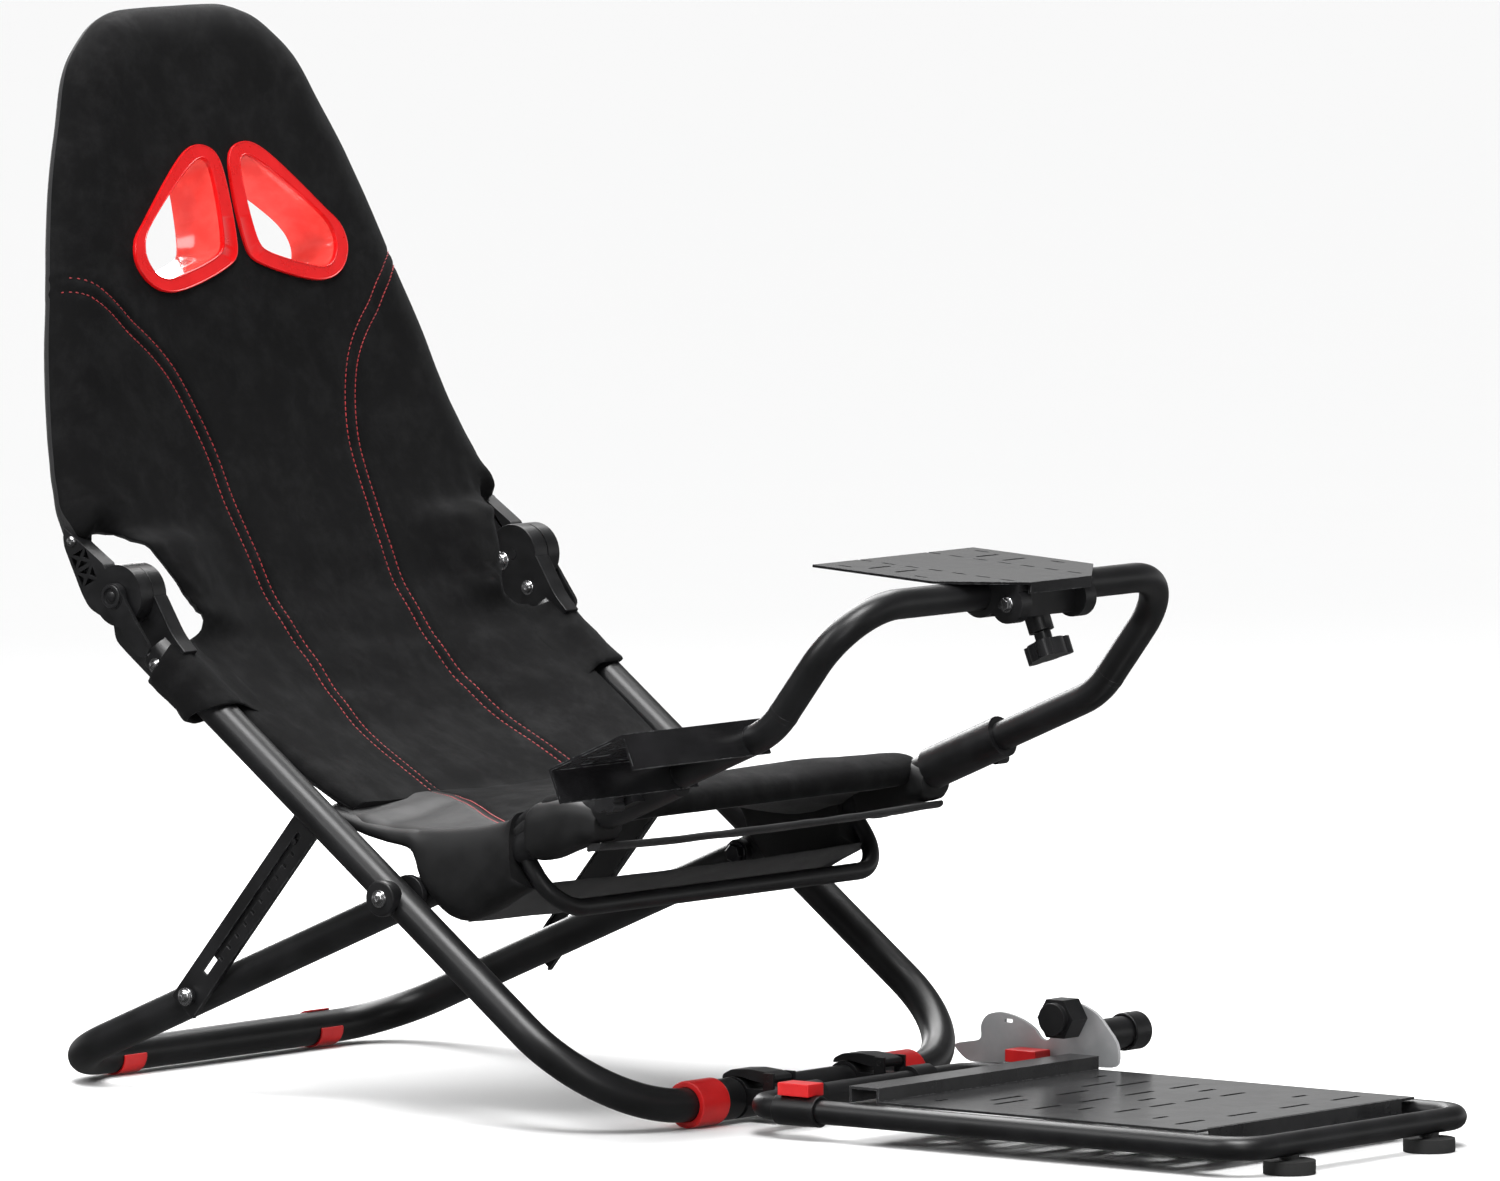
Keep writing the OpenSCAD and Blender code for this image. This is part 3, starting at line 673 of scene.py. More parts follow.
# The zinc plate as a pale grey non-metal: its own grey, plus a painted reflection of a bright room in place of a
# metal's mirror
ZINC_PAINTED_REFLECTION = SprayedSteel("zinc_plate", (0.40, 0.41, 0.42), (0.50, 0.50, 0.51), 0.3, grain=1500.0, wear=0.6,
                    bare=(0.75, 0.75, 0.76), coat=0.3)
BRIGHT = BareMetal("bright_bolt_steel", (0.62, 0.62, 0.63), (0.78, 0.78, 0.79), 0.22, scale=2400.0)
DARK_BOLT = BareMetal("dark_bolt_steel", (0.05, 0.05, 0.055), (0.09, 0.09, 0.095), 0.35, scale=2400.0)
BLACK = MouldedPlastic("black_moulding", (0.006, 0.006, 0.0065), (0.010, 0.010, 0.011), 0.38)
GRIP = MouldedPlastic("knob_moulding", (0.009, 0.009, 0.010), (0.014, 0.014, 0.015), 0.33, grain=1100.0)
RUBBER = MouldedPlastic("foot_rubber", (0.014, 0.014, 0.014), (0.022, 0.022, 0.022), 0.62, grain=700.0)
RED = MouldedPlastic("red_moulding", (0.58, 0.010, 0.012), (0.66, 0.014, 0.014), 0.36, grain=1400.0,
                     grain_strength=0.2)
RED_GLOSS = MouldedPlastic("red_window_moulding", (0.68, 0.003, 0.004), (0.75, 0.004, 0.006), 0.3, grain=300.0,
                           grain_strength=0.03, coat=0.25, wear=0.15)
# The windows' inner wall: the ring's own red moulding, drawn lighter and paler as a painted reflection, under a full
# glossy coat
RED_WALL_PAINTED_REFLECTION = MouldedPlastic("red_window_wall", (0.86, 0.075, 0.062), (0.93, 0.11, 0.09), 0.14, grain=300.0,
                          grain_strength=0.02, coat=1.0, wear=0.0)
SUEDE = Suede("black_suede", (0.0028, 0.0028, 0.0030), (0.0085, 0.0085, 0.0089), 0.86, sheen=0.025)
BAND = WovenCloth("side_band_cloth", (0.008, 0.008, 0.0085), (0.016, 0.016, 0.017), 0.7, sheen=0.06)
FLANK = MouldedPlastic("seat_flank_vinyl", (0.0045, 0.0045, 0.005), (0.008, 0.008, 0.0085), 0.56, grain=900.0,
                       grain_strength=0.12, wear=0.0)
THREAD = SewingThread("red_thread", (0.30, 0.010, 0.016), (0.52, 0.022, 0.026), 0.6)



def mesh_from(bm: bmesh.types.BMesh, name: str) -> bpy.types.Mesh:
    """Turns a drawn mesh into mesh data and frees it.

    Args:
        bm: The drawn mesh.
        name: Its name.

    Returns:
        The mesh data.
    """
    mesh = bpy.data.meshes.new(name)
    bm.to_mesh(mesh)
    bm.free()
    return mesh


def stand(name: str, data: bpy.types.ID) -> bpy.types.Object:
    """Makes an object of some data and links it to the scene.

    Args:
        name: Its name.
        data: A mesh, light or camera.

    Returns:
        The object.
    """
    made = bpy.data.objects.new(name, data)
    bpy.context.scene.collection.objects.link(made)
    return made


def circle(sides: int) -> list[float]:
    """Even angles around a circle, in radians."""
    return [2 * math.pi * i / sides for i in range(sides)]


def squared(value: float, power: float) -> float:
    """A sine or cosine pushed outwards, for sections between a circle and a box."""
    return math.copysign(abs(value) ** power, value)


class Draft:
    """A mesh drawn in millimetres and finished as one piece, or in metres as a part for copies."""

    def __init__(self) -> None:
        """Starts empty."""
        self.bm = bmesh.new()

    def ring(self, points: Sequence[Sequence[float]]) -> list[bmesh.types.BMVert]:
        """Adds a ring of points."""
        return [self.bm.verts.new(p) for p in points]

    def bridge(self, rings: list[list[bmesh.types.BMVert]], cap: bool = True, mat: int = 0) -> None:
        """Skins a row of closed rings with faces.

        Args:
            rings: Rings of equal length.
            cap: Whether the first and last rings are filled.
            mat: Material index of the faces.
        """
        faces = []
        for a, b in zip(rings, rings[1:]):
            for i in range(len(a)):
                j = (i + 1) % len(a)
                faces.append(self.bm.faces.new((a[i], a[j], b[j], b[i])))
        if cap:
            faces += [self.bm.faces.new(rings[0][::-1]), self.bm.faces.new(rings[-1])]
        for face in faces:
            face.material_index = mat

    def lathe(self, profile: Sequence[Point2], origin: Vector, axis: Vector, sides: int = 40) -> None:
        """Turns a closed profile of (distance along the axis, radius) about an axis.

        Args:
            profile: Points from one end of the axis to the other. A radius of 0 closes an end.
            origin: Where the axis starts.
            axis: Its direction.
            sides: Facets around.
        """
        turn = axis.normalized().to_track_quat("Z", "Y").to_matrix()
        rings = []
        for along, radius in profile:
            radius = max(radius, 0.02)
            rings.append(self.ring([origin + turn @ Vector((radius * math.cos(a), radius * math.sin(a), along))
                                    for a in circle(sides)]))
        self.bridge(rings)

    def prism(self, outline: Sequence[Vector], thick: Vector) -> None:
        """Pushes a flat outline along a direction into a solid.

        Args:
            outline: Corners of the flat outline.
            thick: How far it is pushed, and which way.
        """
        low = self.ring(outline)
        high = self.ring([p + thick for p in outline])
        self.bridge([low, high])

    def finish(self, name: str, body: str | None, finishes: Sequence[Finish], replaces: Sequence[str] = (),
               bevel: float = 0.0, smooth: float = SMOOTH) -> bpy.types.Object:
        """Makes the drawn mesh a finished piece.

        Args:
            name: The piece's name.
            body: The body that it rides on, or None for one that rides on no body.
            finishes: Its finishes, by material index.
            replaces: The CAD nodes that it stands for.
            bevel: Width of its rounded edges in millimetres.
            smooth: Angle in degrees under which edges are shaded smooth.

        Returns:
            The finished object.
        """
        bmesh.ops.recalc_face_normals(self.bm, faces=self.bm.faces[:])
        for v in self.bm.verts:
            v.co = at(*v.co)
        return dress_piece(mesh_from(self.bm, name), name, body, finishes, replaces, bevel, smooth)

    def keep(self, name: str) -> bpy.types.Object:
        """Makes the mesh, drawn in metres, a hidden part for copies, which is removed before the end.

        Args:
            name: Its name.

        Returns:
            The part.
        """
        bmesh.ops.recalc_face_normals(self.bm, faces=self.bm.faces[:])
        part = bpy.data.objects.new(name, mesh_from(self.bm, name))
        HELPERS.append(part)
        return part


def dress_piece(mesh: bpy.types.Mesh, name: str, body: str | None, finishes: Sequence[Finish],
                replaces: Sequence[str], bevel: float, smooth: float) -> bpy.types.Object:
    """Gives a mesh its rounded edges, shading, finish and body, and reports it.

    Args:
        mesh: Its mesh, in metres.
        name: Its name.
        body: The body that it rides on, or None for one that rides on no body.
        finishes: Its finishes, by material index.
        replaces: The CAD nodes that it stands for.
        bevel: Width of its rounded edges in millimetres.
        smooth: Angle in degrees under which edges are shaded smooth.

    Returns:
        The piece.
    """
    piece = stand(name, mesh)
    if bevel:
        rounder = piece.modifiers.new("edges", "BEVEL")
        rounder.width = bevel / 1000
        rounder.segments = 2
        rounder.limit_method = "ANGLE"
        rounder.angle_limit = math.radians(35)
        rounder.use_clamp_overlap = True
        settle(piece)
    mesh = piece.data
    mesh.shade_smooth()
    mesh.set_sharp_from_angle(angle=math.radians(smooth))
    if bevel:
        flats = piece.modifiers.new("flats", "WEIGHTED_NORMAL")
        flats.mode = "FACE_AREA"
        flats.weight = 90
        flats.keep_sharp = True
        settle(piece)
        mesh = piece.data
    for finish in finishes:
        mesh.materials.append(finish.material())
    if body:
        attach(piece, body)
    if replaces:
        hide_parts(*replaces)
    LOG.info("%s: %d faces on %s", name, len(mesh.polygons), body or "two bodies")
    return piece


def settle(piece: bpy.types.Object) -> None:
    """Bakes a piece's modifiers into its mesh and removes them.

    Args:
        piece: The piece.
    """
    bpy.context.view_layer.update()
    graph = bpy.context.evaluated_depsgraph_get()
    mesh = bpy.data.meshes.new_from_object(piece.evaluated_get(graph), depsgraph=graph)
    piece.modifiers.clear()
    piece.data = mesh


def refined(node: str, finish: Finish, bevel: float, cut: tuple[Vector, Vector] | None = None,
            taper: tuple[Vector, Vector] | None = None) -> bpy.types.Object:
    """Stands a rounded, smoothly shaded copy of a CAD node in its place.

    Args:
        node: The CAD node.
        finish: Its finish.
        bevel: Width of its rounded edges in millimetres.
        cut: A point and a direction, in metres. What lies past the point that way is hidden in fabric and
            left off.
        taper: Two points in metres, the higher one last. Above the first, the piece keeps behind the line
            of both.

    Returns:
        The piece.
    """
    bm = bmesh.new()
    bm.from_mesh(FRAME["nodes"][node].data)
    bmesh.ops.remove_doubles(bm, verts=bm.verts[:], dist=2e-6)
    bmesh.ops.dissolve_limit(bm, angle_limit=math.radians(0.6), verts=bm.verts[:], edges=bm.edges[:])
    if cut:
        made = bmesh.ops.bisect_plane(bm, geom=bm.verts[:] + bm.edges[:] + bm.faces[:], plane_co=cut[0],
                                      plane_no=cut[1], clear_outer=True)
        rim = [e for e in made["geom_cut"] if isinstance(e, bmesh.types.BMEdge)]
        bmesh.ops.holes_fill(bm, edges=rim, sides=0)
    if taper:
        low, high = taper
        for v in bm.verts:
            if v.co.z > low.z:
                v.co.x = min(v.co.x, low.x + (high.x - low.x) * (v.co.z - low.z) / (high.z - low.z))
    name, body = node + "_piece", FRAME["nodes"][node]["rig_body"]
    return dress_piece(mesh_from(bm, name), name, body, [finish], [node], bevel, SMOOTH)



def part_on_points() -> bpy.types.NodeTree:
    """A tree that stands a small part on each point of a mesh, turned to the point's own axes.

    The points carry the attributes out_axis and turn_axis.

    Returns:
        The tree.
    """
    found = bpy.data.node_groups.get("part_on_points")
    if found:
        return found
    tree = bpy.data.node_groups.new("part_on_points", "GeometryNodeTree")
    sockets = (("Geometry", "Geometry", None), ("Part", "Object", None), ("Size", "Float", 1.0),
               ("Size Spread", "Float", 0.0), ("Seed", "Int", SEED), ("Finish", "Material", None))
    for name, kind, value in sockets:
        socket = tree.interface.new_socket(name, in_out="INPUT", socket_type="NodeSocket" + kind)
        if value is not None:
            socket.default_value = value
    tree.interface.new_socket("Geometry", in_out="OUTPUT", socket_type="NodeSocketGeometry")
    sheet = NodeSheet(tree)
    start = sheet.add("NodeGroupInput")
    vector = {"data_type": "FLOAT_VECTOR"}
    out_axis = sheet.add("GeometryNodeInputNamedAttribute", vector, Name="out_axis").outputs[0]
    turn_axis = sheet.add("GeometryNodeInputNamedAttribute", vector, Name="turn_axis").outputs[0]
    turn = sheet.add("FunctionNodeAxesToRotation", {"primary_axis": "Z", "secondary_axis": "X"}, _0=out_axis,
                     _1=turn_axis).outputs[0]
    part = sheet.add("GeometryNodeObjectInfo", None, Object=start.outputs["Part"]).outputs["Geometry"]
    low = sheet.math("SUBTRACT", start.outputs["Size"], start.outputs["Size Spread"])
    high = sheet.math("ADD", start.outputs["Size"], start.outputs["Size Spread"])
    size = sheet.add("FunctionNodeRandomValue", {"data_type": "FLOAT"}, _2=low, _3=high,
                     Seed=start.outputs["Seed"]).outputs[1]
    stood = sheet.add("GeometryNodeInstanceOnPoints", None, Points=start.outputs["Geometry"], Instance=part,
                      Rotation=turn, Scale=size).outputs[0]
    real = sheet.add("GeometryNodeRealizeInstances", None, _0=stood).outputs[0]
    done = sheet.add("GeometryNodeSetMaterial", None, Geometry=real, Material=start.outputs["Finish"]).outputs[0]
    sheet.add("NodeGroupOutput", None, Geometry=done)
    return tree


def scatter(name: str, body: str | None, part: bpy.types.Object, spots: Sequence[tuple[Vector, Vector, Vector]],
            finish: Finish, size: float = 1.0, spread: float = 0.0) -> bpy.types.Object:
    """Stands copies of a small part on spots, through Geometry Nodes, as one plain mesh.

    Args:
        name: The piece's name.
        body: The body that it rides on, or None for one that rides on no body.
        part: The part, drawn in metres about the origin with Z outwards.
        spots: Place in millimetres, outward axis and turning axis of each copy.
        finish: The finish.
        size: Scale of the copies.
        spread: How much the scale may vary either way.

    Returns:
        The piece.
    """
    mesh = bpy.data.meshes.new(name)
    mesh.from_pydata([at(*p) for p, _, _ in spots], [], [])
    for key, place in (("out_axis", 1), ("turn_axis", 2)):
        layer = mesh.attributes.new(key, "FLOAT_VECTOR", "POINT")
        layer.data.foreach_set("vector", [c for spot in spots for c in spot[place].normalized()])
    piece = stand(name, mesh)
    tree = part_on_points()
    maker = piece.modifiers.new("copies", "NODES")
    maker.node_group = tree
    ids = {s.name: s.identifier for s in tree.interface.items_tree if s.in_out == "INPUT"}
    values = {"Part": part, "Size": size, "Size Spread": spread, "Seed": SEED, "Finish": finish.material()}
    for key, value in values.items():
        maker[ids[key]] = value
    settle(piece)
    for key in ("out_axis", "turn_axis"):
        layer = piece.data.attributes.get(key)
        if layer:
            piece.data.attributes.remove(layer)
    piece.data.shade_smooth()
    piece.data.set_sharp_from_angle(angle=math.radians(SMOOTH))
    if body:
        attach(piece, body)
    LOG.info("%s: %d copies on %s", name, len(spots), body or "two bodies")
    return piece


HELPERS: list[bpy.types.Object] = []


def small_part(name: str, rings: Sequence[tuple[float, float, int]], sides: int = 24) -> bpy.types.Object:
    """A turned small part for scatter, in metres about the origin.

    Args:
        name: Its name.
        rings: Height and radius of each ring in millimetres, and 1 where the ring is six-sided.
        sides: Facets around, a multiple of 6.

    Returns:
        A hidden object.
    """
    draft = Draft()
    made = []
    for height, radius, six in rings:
        ring = []
        for a in circle(sides):
            r = radius / math.cos((a + math.pi / 6) % (math.pi / 3) - math.pi / 6) if six else radius
            ring.append((r * math.cos(a) / 1000, r * math.sin(a) / 1000, height / 1000))
        made.append(draft.ring(ring))
    draft.bridge(made)
    return draft.keep(name)


def socket_head() -> bpy.types.Object:
    """A low round screw head with a six-sided socket, 10 mm across."""
    return small_part("socket_head", [(-1.0, 5.0, 0), (0.9, 5.0, 0), (1.9, 4.7, 0), (2.7, 3.9, 0), (3.1, 2.9, 0),
                                      (3.1, 2.0, 1), (1.3, 2.0, 1), (1.1, 0.1, 1)])


def pan_head() -> bpy.types.Object:
    """A domed screw head with a six-sided socket on a washer, 12 mm across."""
    return small_part("pan_head", [(-1.0, 6.2, 0), (0.6, 6.2, 0), (0.9, 5.9, 0), (0.9, 4.9, 0), (2.1, 4.6, 0),
                                   (3.2, 3.7, 0), (3.6, 2.6, 0), (3.6, 1.9, 1), (1.4, 1.9, 1), (1.2, 0.1, 1)])


def hex_head() -> bpy.types.Object:
    """A six-sided bolt head on a washer, 10 mm across."""
    return small_part("hex_head", [(-1.0, 6.4, 0), (0.8, 6.4, 0), (1.1, 6.1, 0), (1.1, 4.6, 1), (3.9, 4.6, 1),
                                   (4.5, 4.1, 1), (4.6, 1.5, 0)])


def stitch() -> bpy.types.Object:
    """One stitch of thread, 4.2 mm long and 1.1 mm thick, lying along X.

    Returns:
        The stitch as a hidden part for copies.
    """
    draft = Draft()
    rings = []
    for x, z, r in ((-2.1, -0.5, 0.3), (-1.7, 0.1, 0.5), (0.0, 0.35, 0.56), (1.7, 0.1, 0.5), (2.1, -0.5, 0.3)):
        rings.append(draft.ring([(x / 1000, r * math.cos(a) / 1000, (z + r * math.sin(a)) / 1000)
                                 for a in (math.pi * i / 3 for i in range(6))]))
    draft.bridge(rings)
    return draft.keep("stitch")


Edge = tuple[Vector, Vector]


def enclosed(p: Vector, edges: Sequence[Edge]) -> bool:
    """Whether a flat point lies inside the loop that the edges form.

    Args:
        p: The point.
        edges: The edges, each as its two ends.

    Returns:
        Whether it lies inside.
    """
    inside = False
    for a, b in edges:
        if (a.y > p.y) != (b.y > p.y) and p.x < (b.x - a.x) * (p.y - a.y) / (b.y - a.y) + a.x:
            inside = not inside
    return inside


def to_edge(p: Vector, a: Vector, b: Vector) -> float:
    """Distance from a flat point to an edge.

    Args:
        p: The point.
        a: The edge's first end.
        b: The edge's other end.

    Returns:
        The distance to the nearest place on the edge.
    """
    way = b - a
    share = min(max((p - a).dot(way) / max(way.length_squared, 1e-9), 0.0), 1.0)
    return (p - a - way * share).length


class EdgeField:
    """Distances from a loop, found quickly by cells."""

    def __init__(self, loop: list[Vector], cell: float = 20.0) -> None:
        """Sorts the loop's edges into cells.

        Args:
            loop: Corners of the loop.
            cell: Width of the cells.
        """
        self.cell = cell
        around = list(zip(loop, loop[1:] + loop[:1]))
        self.turn = 1.0 if sum(a.x * b.y - b.x * a.y for a, b in around) > 0 else -1.0
        self.cells: dict[tuple[int, int], list[Edge]] = {}
        self.rows: dict[int, list[Edge]] = {}
        for a, b in around:
            self.cells.setdefault((int(a.x // cell), int(a.y // cell)), []).append((a, b))
            low, high = sorted((a.y, b.y))
            for k in range(int(low // cell), int(high // cell) + 1):
                self.rows.setdefault(k, []).append((a, b))

    def distance(self, p: Vector) -> float:
        """Distance to the loop, up to 60.

        Args:
            p: The point.

        Returns:
            The distance.
        """
        cx, cy = int(p.x // self.cell), int(p.y // self.cell)
        best = 60.0
        for ring in range(4):
            if ring * self.cell - self.cell > best:
                break
            for dx in range(-ring, ring + 1):
                for dy in range(-ring, ring + 1):
                    if max(abs(dx), abs(dy)) != ring:
                        continue
                    for a, b in self.cells.get((cx + dx, cy + dy), ()):
                        best = min(best, to_edge(p, a, b))
        return best

    def inside(self, p: Vector) -> bool:
        """Whether a point lies inside the loop."""
        return enclosed(p, self.rows.get(int(p.y // self.cell), ()))


class SpotGrid:
    """Remembers where points are, to keep new ones apart."""

    def __init__(self, cell: float) -> None:
        """Starts empty."""
        self.cell = cell
        self.spots: dict[tuple[int, int], list[Vector]] = {}

    def add(self, p: Vector) -> None:
        """Remembers a point."""
        self.spots.setdefault((int(p.x // self.cell), int(p.y // self.cell)), []).append(p)

    def free(self, p: Vector, gap: float) -> bool:
        """Whether nothing lies within a distance of a point.

        Args:
            p: The point.
            gap: The distance, up to the width of a cell.

        Returns:
            Whether the place is free.
        """
        cx, cy = int(p.x // self.cell), int(p.y // self.cell)
        return all((q - p).length >= gap for dx in (-1, 0, 1) for dy in (-1, 0, 1)
                   for q in self.spots.get((cx + dx, cy + dy), ()))


class SeamLine:
    """A sewn seam across a pad, with distances to it."""

    CELL = 25

    def __init__(self, points: list[Vector]) -> None:
        """Takes evenly spaced points.

        Args:
            points: The points, as (t, y).
        """
        self.points = points
        self.cells: dict[tuple[int, int], list[int]] = {}
        for i, p in enumerate(points):
            for dx in (-1, 0, 1):
                for dy in (-1, 0, 1):
                    self.cells.setdefault((int(p.x // self.CELL) + dx, int(p.y // self.CELL) + dy), []).append(i)

    def distance(self, t: float, y: float) -> float | None:
        """Distance from a place to the seam, or None where it is far away.

        Args:
            t: Place along the profile.
            y: Place across, in millimetres.

        Returns:
            The distance or None.
        """
        near = self.cells.get((int(t // self.CELL), int(y // self.CELL)))
        if not near:
            return None
        p = Vector((t, y))
        best = 1e9
        for i in near:
            a = self.points[i]
            for b in self.points[max(i - 1, 0)], self.points[min(i + 1, len(self.points) - 1)]:
                best = min(best, to_edge(p, a, b))
        return best

    def offset(self, gap: float) -> list[Vector]:
        """The seam moved sideways.

        Args:
            gap: How far to the left of its direction.

        Returns:
            The moved points.
        """
        out = []
        last = len(self.points) - 1
        for i, p in enumerate(self.points):
            way = (self.points[min(i + 1, last)] - self.points[max(i - 1, 0)]).normalized()
            out.append(p + Vector((-way.y, way.x)) * gap)
        return out


@dataclass
class Pad:
    """A padded sheet of fabric that follows a profile seen from the side.

    A place on it is (t, y): t runs along the profile and y across. The face is the profile, sunk by `dip`;
    the rear lies `thick` below it, and the two meet in a seam `seam` below the face. The face wears
    material 0, or 2 where `side` says so, and the rear material 1.
    """

    # Distances from the rim and from a seam at which rows of points follow them, and pitch of the rows between
    INSETS = (1.0, 3.0, 6.5, 11.5, 18.0, 26.0)
    SEAM_ROWS = (0.0, -2.5, 2.5, -4.8, 4.8, -7.0, 7.0, -9.2, 9.2, -12.0, 12.0)
    ROW_PITCH = 0.87

    profile: list[Vector]
    t_start: float
    outline: list[Point2]
    holes: list[list[Point2]] = field(default_factory=list)
    seams: list[list[Point2]] = field(default_factory=list)
    thick: Callable[[float, float], float] = lambda t, y: 46.0
    seam: Callable[[float, float], float] = lambda t, y: 30.0
    round_face: Callable[[float, float], float] = lambda t, y: 45.0
    round_rear: float = 14.0
    dip: Callable[[float, float], float] = lambda t, y: 0.0
    side: Callable[[float, float], bool] = lambda t, y: False
    # Pitch of the points, and distance of the two rows of stitches from their seam
    step: float = 7.0
    twin: float = 7.0

    def __post_init__(self) -> None:
        """Prepares lengths along the profile."""
        self.lengths = [0.0]
        for p, q in zip(self.profile, self.profile[1:]):
            self.lengths.append(self.lengths[-1] + (q - p).length)

    def spot(self, t: float) -> tuple[Vector, Vector]:
        """The profile's point and its outward normal at t, both as (x, z).

        Args:
            t: Place along the profile.

        Returns:
            The point and the normal.
        """
        along = min(max(self.t_start - t, 0.0), self.lengths[-1] - 1e-3)
        low, high = 0, len(self.lengths) - 1
        while high - low > 1:
            mid = (low + high) // 2
            low, high = (mid, high) if self.lengths[mid] <= along else (low, mid)
        share = (along - self.lengths[low]) / (self.lengths[high] - self.lengths[low])
        point = self.profile[low].lerp(self.profile[high], share)
        before = self.profile[max(low - 2, 0)]
        after = self.profile[min(high + 2, len(self.profile) - 1)]
        way = (after - before).normalized()
        point = point + way * (self.t_start - t - along)
        return point, Vector((-way.y, way.x))

    @staticmethod
    def crown(share: float) -> float:
        """Height of a rounded edge, from 0 at the seam to 1 on the flat.

        Args:
            share: Distance from the seam, as a share of the rounded width.

        Returns:
            The height.
        """
        if share >= 1:
            return 1.0
        return math.sqrt(max(0.0, 1 - (1 - share) ** 2))

    def depth(self, t: float, y: float, edge: float, rear: bool) -> float:
        """Distance below the profile of the face or the rear at a place `edge` from the outline.

        Args:
            t: Place along the profile.
            y: Place across, in millimetres.
            edge: Distance from the outline.
            rear: Whether the rear is wanted.

        Returns:
            The depth in millimetres.
        """
        thick, seam = self.thick(t, y), self.seam(t, y)
        if rear:
            return seam + (thick - seam) * self.crown(edge / self.round_rear) + self.dip(t, y)
        sunk = 0.0
        for line in self.seam_lines:
            near = line.distance(t, y)
            if near is not None and near < 3 * self.twin:
                for row in (-self.twin, self.twin):
                    sunk += 1.3 * math.exp(-(((near - abs(row)) / 2.2) ** 2)) * (0.5 if row < 0 else 1.0)
                sunk -= 0.5 * math.exp(-((near / 3.5) ** 2))
        return seam * (1 - self.crown(edge / self.round_face(t, y))) + self.dip(t, y) + sunk

    def place(self, t: float, y: float, depth: float) -> Vector:
        """A point `depth` below the profile, in millimetres."""
        point, out = self.spot(t)
        return Vector((point.x - out.x * depth, y, point.y - out.y * depth))

    def build(self) -> Draft:
        """Draws the pad as one closed mesh.

        Returns:
            The drawn pad.
        """
        rim = [Vector(p) for p in self.outline]
        holes = [[Vector(p) for p in hole] for hole in self.holes]
        self.seam_lines = [SeamLine([Vector(p) for p in line]) for line in self.seams]
        self.rim_field = EdgeField(rim)
        points: list[Vector] = []
        edges: list[tuple[int, int]] = []
        for loop in (rim, *holes):
            first = len(points)
            points += loop
            edges += [(first + i, first + (i + 1) % len(loop)) for i in range(len(loop))]
        taken = SpotGrid(self.step)
        for p in points:
            taken.add(p)
        points += self.rim_points(rim, taken) + self.seam_points(holes, taken)
        points += self.row_points(rim, holes, taken)
        outer = [list(range(len(rim)))]
        verts, _, faces, *_ = delaunay_2d_cdt([p.to_2d() for p in points], edges, outer, 1, 1e-4)
        return self.skin(verts, faces, holes)

    def rim_points(self, rim: list[Vector], taken: SpotGrid) -> list[Vector]:
        """Rows of points that follow the rim, closest ones first.

        Args:
            rim: The rim's points.
            taken: Where points are. It learns the new ones.

        Returns:
            The new points.
        """
        found = []
        for inset in self.INSETS:
            gap = min(0.55 * self.step, 1.6 + 0.3 * inset) if inset > 1 else 0.5
            for i, p in enumerate(rim):
                way = (rim[(i + 1) % len(rim)] - rim[i - 1]).normalized()
                inner = p + Vector((-way.y, way.x)) * inset * self.rim_field.turn
                if abs(self.rim_field.distance(inner) - inset) < 0.25 * inset and self.rim_field.inside(inner):
                    if taken.free(inner, gap):
                        found.append(inner)
                        taken.add(inner)
        return found

    def seam_points(self, holes: list[list[Vector]], taken: SpotGrid) -> list[Vector]:
        """Rows of points that follow the seams.

        Args:
            holes: Loops that stay open.
            taken: Where points are. It learns the new ones.

        Returns:
            The new points.
        """
        found = []
        for line in self.seam_lines:
            for row in self.SEAM_ROWS:
                for p in line.offset(row):
                    apart = self.rim_field.inside(p) and self.rim_field.distance(p) > 2.5 and taken.free(p, 2.0)
                    if apart and not self.in_hole(p, holes):
                        found.append(p)
                        taken.add(p)
        return found

    def row_points(self, rim: list[Vector], holes: list[list[Vector]], taken: SpotGrid) -> list[Vector]:
        """Staggered rows of points that fill what is left.

        Args:
            rim: The rim's points.
            holes: Loops that stay open.
            taken: Where points are.

        Returns:
            The new points.
        """
        found = []
        (t, lo_y), (hi_t, hi_y) = ([pick(p[k] for p in rim) for k in (0, 1)] for pick in (min, max))
        row = 0
        while t < hi_t:
            y = lo_y + (row % 2) * self.step / 2
            while y < hi_y:
                p = Vector((t, y))
                if self.rim_field.inside(p) and self.rim_field.distance(p) > 5 and taken.free(p, 0.6 * self.step):
                    if not self.in_hole(p, holes):
                        found.append(p)
                y += self.step
            t += self.step * self.ROW_PITCH
            row += 1
        return found

